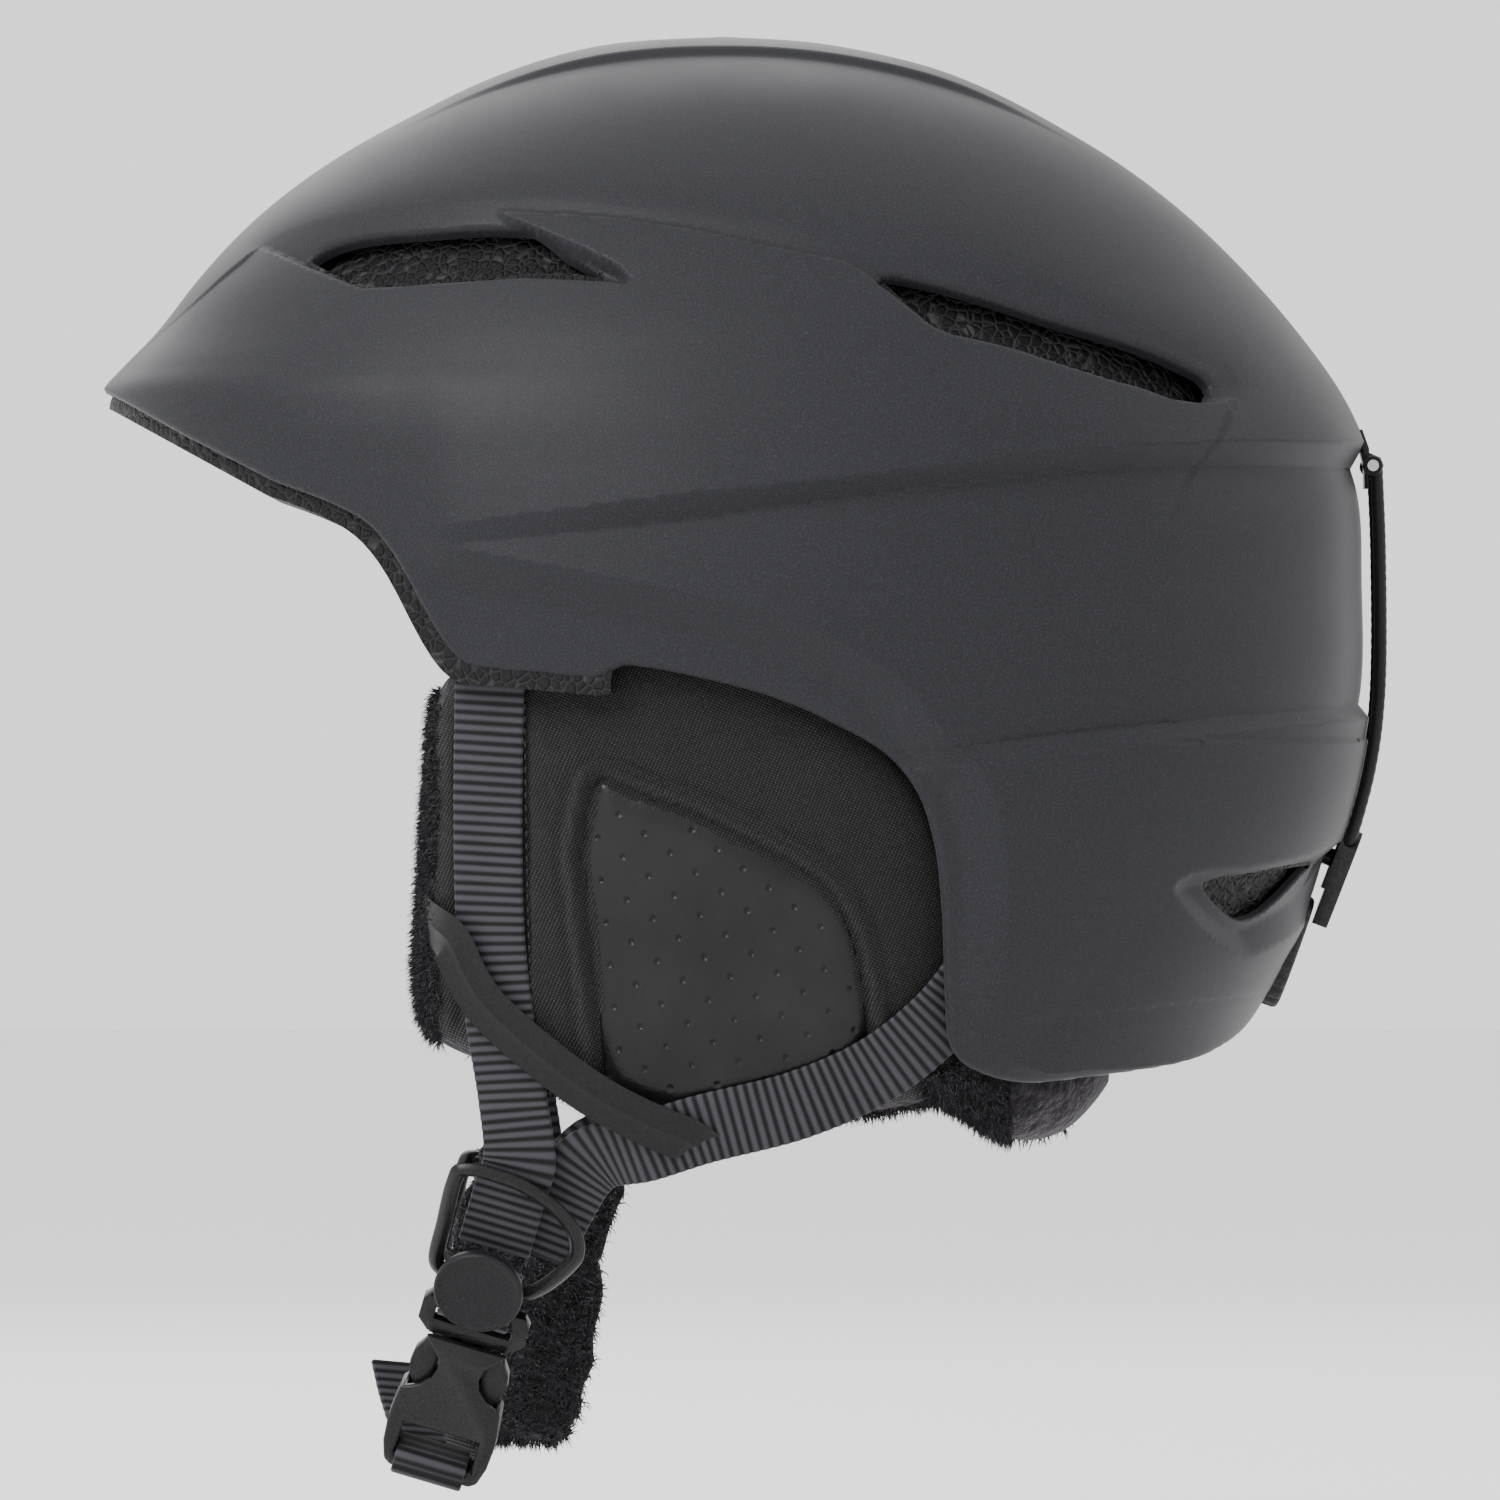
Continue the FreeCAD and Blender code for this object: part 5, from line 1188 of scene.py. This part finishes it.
def make_dividers():
    line = curve2(RING_OUTLINE, 110, closed=True)
    line = moved_out(line, -1.7 if turns_left(line) else 1.7)
    middle = np.array([chin_point(x, 2.5, z) for x, z in line])
    ring = sweep(middle, np.tile(OUTWARD, (len(middle), 1)), round_section(16, 1.75, 1.65, 1.25), closed=True)
    top, low = 8.5, 5.6
    profile = [(2.0, 2.0), (2.0, low), (9.1, low), (9.65, low + 0.35), (9.85, low + 1.2), (9.85, top - 0.75),
               (9.7, top - 0.3), (9.35, top), (8.9, top - 0.02), (8.55, top - 0.22), (8.2, top - 0.3),
               (5.0, top - 0.33), (0.4, top - 0.34)]
    disc = lathe(profile, chin_point(BUTTON_AT[0], 0, BUTTON_AT[1]), OUTWARD, 72)
    for side in ("left", "right"):
        obj = new_object(side + "_divider_ring", *sided(side, ring), FINISH["hardware"])
        place(obj, side + "_strap_divider")
        obj = new_object(side + "_divider_disc", *sided(side, disc), button_finish, creases=35)
        place(obj, side + "_divider_button")


button_finish = moulded_material("matte_button", (0.006, 0.006, 0.007), 0.45, 0.4, 0.35, 2400.0)
make_dividers()


def loop_path(z_low, z_high, y_low, y_high, corner, flip=1):
    """A closed rounded loop in the chin frame, seen from its edge, with its outward directions."""
    centres = [(y_high - corner, z_high - corner, 0), (y_low + corner, z_high - corner, 90),
               (y_low + corner, z_low + corner, 180), (y_high - corner, z_low + corner, 270)]
    path = []
    for cy, cz, start in centres:
        for turn in (0, 30, 60, 90):
            a = math.radians(start + turn)
            y, z = cy + corner * math.cos(a), cz + corner * math.sin(a)
            out = OUTWARD * math.cos(a) + ALONG * math.sin(a)
            path.append((chin_point(0, y, z) * [flip, 1, 1], out * [flip, 1, 1]))
    path.append(path[0])
    return path


RING_LOW, RING_HIGH = 0.9, 4.1          # the divider's and the plug's back and front faces
place(web_piece("plug_loop", loop_path(28.7, 41.5, RING_LOW - 0.9, RING_HIGH + 0.9, 1.8), closed=True),
      "plug_strap")
place(web_piece("right_loop", loop_path(28.7, 34.6, RING_LOW - 0.9, RING_HIGH + 0.9, 1.8, -1), closed=True),
      "right_divider_loop")
place(web_piece("socket_loop", loop_path(77.0, 82.7, -2.0, 7.0, 2.0), closed=True), "socket_strap_wrap")

# ------------------------------------------------------------------ chin strap, pad and loose end

CHIN_LINE = [
    ((-53.7, -56.1, -136.9), (-0.86, -0.14, -0.49)), ((-48.5, -57, -145.5), (-0.81, -0.17, -0.56)),
    ((-38, -59, -157), (-0.68, -0.2, -0.7)), ((-24, -61.5, -166), (-0.48, -0.25, -0.84)),
    ((-8, -64, -171.3), (-0.24, -0.28, -0.93)), ((8, -66.2, -173), (-0.06, -0.285, -0.958)),
    ((18, -67.2, -173.2), (0.03, -0.285, -0.958)), ((28, -67.6, -172.6), (0.1, -0.285, -0.95)),
]
PAD_WIDE, PAD_THICK, PAD_BACK = 33.0, 9.5, 8.0
PAD_LIFT = 5.0


def make_chin_pieces():
    right_out = OUTWARD * [-1, 1, 1]
    head = [(chin_point(0, 4.6, 34.6) * [-1, 1, 1], right_out)]
    strap = web_piece("chin_webbing", head + [(np.array(at), unit(out)) for at, out in CHIN_LINE])
    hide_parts("chin_strap")
    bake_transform(strap)
    path = [(chin_point(x, -8.9, z) * [-1, 1, 1], right_out) for x, z in ((7, 4), (7, 17), (6, 31))]
    for at, out in CHIN_LINE[:7]:
        out = unit(out)
        path.append((np.array(at) - out * (WEB_THICK / 2 + PAD_THICK / 2 + PAD_LIFT) + [0, PAD_BACK, 0], out))
    middle, out = stations(path, 2.0)
    share = np.linspace(0, 1, len(middle))
    ends = np.sqrt(np.clip(1 - np.maximum(np.abs(share - 0.5) * 2 - 0.9, 0) ** 2 / 0.01, 0.05, 1))
    body = sweep(middle, out, round_section(26, PAD_WIDE / 2, PAD_THICK / 2, 0.8),
                 ends * (1 + 0.03 * np.sin(share * 41)), ends * (1.05 + 0.08 * np.sin(share * 67)))
    tufts = fuzz(body[0], body[1], 17000, 2.9, 33)
    pad = new_object("chin_fleece", *joined(body, tufts), FINISH["fleece"])
    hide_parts("chin_pad_upper", "chin_pad_lower")
    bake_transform(pad)
    tail = [(np.array(at), unit((-0.42, -0.3, -0.85)))
            for at in ((31, -69.5, -167.5), (27, -71, -163), (21.5, -73, -157), (17, -74.6, -150.5))]
    place(web_piece("loose_end", tail, width=13.0), "strap_tail")


make_chin_pieces()

# ------------------------------------------------------------------ neck pads

NECK_PAD = curve2([
    (35, -86), (42, -91), (50, -95), (57, -99.6), (65, -100.8), (72, -98.6), (78, -93.2), (82, -87.4),
    (83, -84), (72, -82), (58, -82), (44, -83)], 60, closed=True)


def make_neck_pads():
    def relief(q, depth):
        puff = 1.3 * (1 - np.exp(-np.maximum(depth, 0) / 3))
        seam = 0.8 * np.exp(-((q[:, 0] - 76 + 0.3 * q[:, 1] + 28) / 0.7) ** 2)
        return puff + 0.3 * ripple(np.column_stack([q, q[:, 0]]), 9, 3) - seam

    roll = pillow(NECK_PAD, 3.2, 1.0, EAR_TOP, 23.0, relief, 9)
    tufts = fuzz(roll[0], roll[1], 6500, 2.8, 51, lambda at, n: (
        (n[:, 0] < -0.2) * 0.6 + (at[:, 1] < 60) * 1.6))
    for side in ("left", "right"):
        verts, faces = joined(sided(side, roll), sided(side, tufts))
        obj = new_object(side + "_neck_roll", verts, faces, FINISH["fleece"])
        place(obj, side + "_neck_pad")


make_neck_pads()

# The foam that closes each nape vent from inside. The CAD liner is open there.
NAPE_FOAM = curve2([(95, -60), (94, -46), (96, -36), (110, -33.5), (121, -33), (122, -42), (119.5, -52),
                    (113, -60.5), (104, -63)], 60, closed=True)


def make_nape_foam():
    block = pillow(NAPE_FOAM, 1.5, 1.2, 5.2, 9.5,
                   lambda q, d: 0.25 * ripple(np.column_stack([q, q[:, 0]]), 5, 6), 3)
    for side in ("left", "right"):
        verts, faces = sided(side, block)
        obj = new_object(side + "_nape_foam", verts, faces, FINISH["foam"])
        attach(obj, "helmet")


make_nape_foam()

# ------------------------------------------------------------------ pads inside, by cloth simulation

PAD_VOXEL, PAD_PRESSURE, PAD_CAP = 4.0, 2.0, 2.0        # the cap is how far a pad may leave its solid
CLOTH_FRAMES = 20


def puffed(name, new_name):
    """A CAD pad inflated as cloth: remeshed, swelled by pressure and held near its own solid."""
    verts, faces = node_mesh(name)
    obj = new_object(new_name, verts, faces, FINISH["lining"])
    remesh = obj.modifiers.new("voxels", "REMESH")
    remesh.mode = "VOXEL"
    remesh.voxel_size = PAD_VOXEL * MM
    remesh.use_smooth_shade = True
    smoother = obj.modifiers.new("soften", "SMOOTH")
    smoother.factor = 0.5
    smoother.iterations = 6
    applied(obj)
    before = np.array([tuple(v.co) for v in obj.data.vertices])
    cloth = obj.modifiers.new("cloth", "CLOTH")
    cloth.settings.use_pressure = True
    cloth.settings.uniform_pressure_force = PAD_PRESSURE
    cloth.settings.effector_weights.gravity = 0
    cloth.settings.mass = 0.3
    cloth.point_cache.frame_start, cloth.point_cache.frame_end = 1, CLOTH_FRAMES
    for step in range(1, CLOTH_FRAMES + 1):
        bpy.context.scene.frame_set(step)
    applied(obj)
    after = np.array([tuple(v.co) for v in obj.data.vertices])
    shift = after - before
    length = np.linalg.norm(shift, axis=1, keepdims=True)
    shift *= np.minimum(1, PAD_CAP * MM / np.maximum(length, 1e-9))
    obj.data.vertices.foreach_set("co", (before + shift).ravel())
    bpy.context.scene.frame_set(1)
    divide = obj.modifiers.new("divide", "SUBSURF")
    divide.levels = divide.render_levels = 1
    applied(obj)
    obj.data.polygons.foreach_set("use_smooth", [True] * len(obj.data.polygons))
    if not obj.data.materials:
        obj.data.materials.append(FINISH["lining"])
    place(obj, name)
    return obj


for pad_node, pad_name in (("brow_pad", "brow_comfort"), ("crown_pads", "crown_comfort"),
                           ("side_pads", "side_comfort"), ("rear_pad", "rear_comfort"),
                           ("nape_pad", "nape_comfort")):
    puffed(pad_node, pad_name)

# ------------------------------------------------------------------ buckle, fit dial, goggle holder

for part, width in (("buckle_plug", 0.45), ("release_arm_rear", 0.3), ("release_arm_front", 0.3),
                    ("buckle_socket", 0.6), ("fit_housing", 0.5),
                    ("holder_bracket", 0.35), ("snap_stud", 0.25)):
    bevelled(part, width, FINISH[SLOT_OF[part]])
bevelled("goggle_tab", 0.7, FINISH["dial_rubber"], 3)


def make_dial():
    """The fit dial: a scalloped grip round a dished face."""
    count = 20

    def grip(turn, r, _along):
        deep = 0.75 * (r > DIAL_RADIUS - 1.6)
        return r - deep * np.exp(-((np.mod(turn * count / (2 * np.pi), 1) - 0.5) / 0.2) ** 2)

    top = 0.0
    profile = [(2.4, -22), (2.4, -DIAL_THICK), (11.6, -DIAL_THICK), (12.6, -DIAL_THICK + 0.5),
               (12.95, -DIAL_THICK + 1.4),
               (12.95, top - 1.2), (12.7, top - 0.5), (12.1, top - 0.1), (11.4, top), (10.4, top - 0.15),
               (9.8, top - 0.7), (9.2, top - 1.0), (4.0, top - 1.1), (3.4, top - 0.8), (0.3, top - 0.75)]
    turned = lathe(profile, DIAL_FACE, DIAL_OUT, 240, grip)
    obj = new_object("fit_dial_grip", *turned, FINISH["dial_rubber"], creases=40)
    return place(obj, "fit_dial")


make_dial()


def make_cord():
    """The elastic cord: both runs and the turn inside the tab as one braided tube."""
    half, end = 11.0, (135.3, -35.4)
    run = [(half, 141.0, 46.4), (half, 141.7, 28), (half, 141.5, -4), (half, 139.4, -20), (half * 0.78, *end)]
    points = np.array(run + [(x * -1, y, z) for x, y, z in run[::-1]], float)
    middle = curve2(points, 260)
    out = np.tile([0, 1.0, 0.02], (len(middle), 1))
    radius = 1.45 + 0.05 * np.sin(np.arange(len(middle)) * 1.9)
    cord = sweep(middle, out, round_section(14), radius, radius)
    sleeves = [lathe([(1.35, -1.8), (2.0, -1.8), (2.25, -1.4), (2.25, 1.4), (2.0, 1.8), (1.35, 1.8)],
                     (x, 140.2, 47.2), (1, 0, 0), 32) for x in (-half, half)]
    obj = new_object("goggle_cord_loop", *joined(cord, *sleeves), FINISH["elastic"], creases=50)
    return place(obj, "goggle_cord")


make_cord()

PLAIN_NODES = ("foam_liner", "dial_pinion", "fit_band_left", "fit_band_right", "holder_pin",
               "left_strap_anchors", "right_strap_anchors")
for name in PLAIN_NODES:
    mesh = frame["nodes"][name].data
    mesh.materials.clear()
    mesh.materials.append(FINISH[SLOT_OF[name]])

# ------------------------------------------------------------------ stage, light and camera

def area_light(name, at, aim, wide, tall, power):
    light = bpy.data.lights.new(name, "AREA")
    light.shape = "RECTANGLE"
    light.size, light.size_y = wide, tall
    light.energy = power
    obj = bpy.data.objects.new(name, light)
    obj.location = at
    obj.rotation_euler = (Vector(aim) - Vector(at)).to_track_quat("-Z", "Y").to_euler()
    bpy.context.scene.collection.objects.link(obj)


RELEASE_DROP = 0.022 * -ALONG[2]        # how far the buckle comes down when it is pulled out
FLOOR_GAP = 0.004
FLOOR_HALF = 9


def make_stage():
    floor_z = cad_box[0][2] - RELEASE_DROP - FLOOR_GAP
    mesh = bpy.data.meshes.new("floor")
    square = [(x * FLOOR_HALF, y * FLOOR_HALF, floor_z) for x, y in ((-1, -1), (1, -1), (1, 1), (-1, 1))]
    mesh.from_pydata(square, [], [(0, 1, 2, 3)])
    floor = bpy.data.objects.new("floor", mesh)
    bpy.context.scene.collection.objects.link(floor)
    mesh.materials.append(material("pale_floor", (0.92, 0.92, 0.92), 0.6, 0.2)[0])
    world = bpy.data.worlds.new("studio")
    bpy.context.scene.world = world
    world.use_nodes = True
    world.node_tree.nodes["Background"].inputs["Color"].default_value = (1, 1, 1, 1)
    world.node_tree.nodes["Background"].inputs["Strength"].default_value = 1.45
    middle = (0, 0.0, 0.02)
    area_light("key", (1.5, -1.2, 1.5), middle, 1.2, 1.2, 62)
    area_light("far_side", (-1.6, -0.4, 1.2), middle, 1.4, 1.4, 14)
    area_light("rear", (0.2, 1.9, 0.9), middle, 1.2, 1.2, 5)


def make_camera():
    """A long lens from straight out on the wearer's left."""
    data = bpy.data.cameras.new("camera")
    away, across = 4.5, 0.3315
    data.sensor_width = 36
    data.lens = 36 * away / across
    camera = bpy.data.objects.new("camera", data)
    camera.location = (away, 0.0029, -0.0155)
    camera.rotation_euler = (math.radians(90), 0, math.radians(90))
    bpy.context.scene.collection.objects.link(camera)
    bpy.context.scene.camera = camera


make_stage()
make_camera()
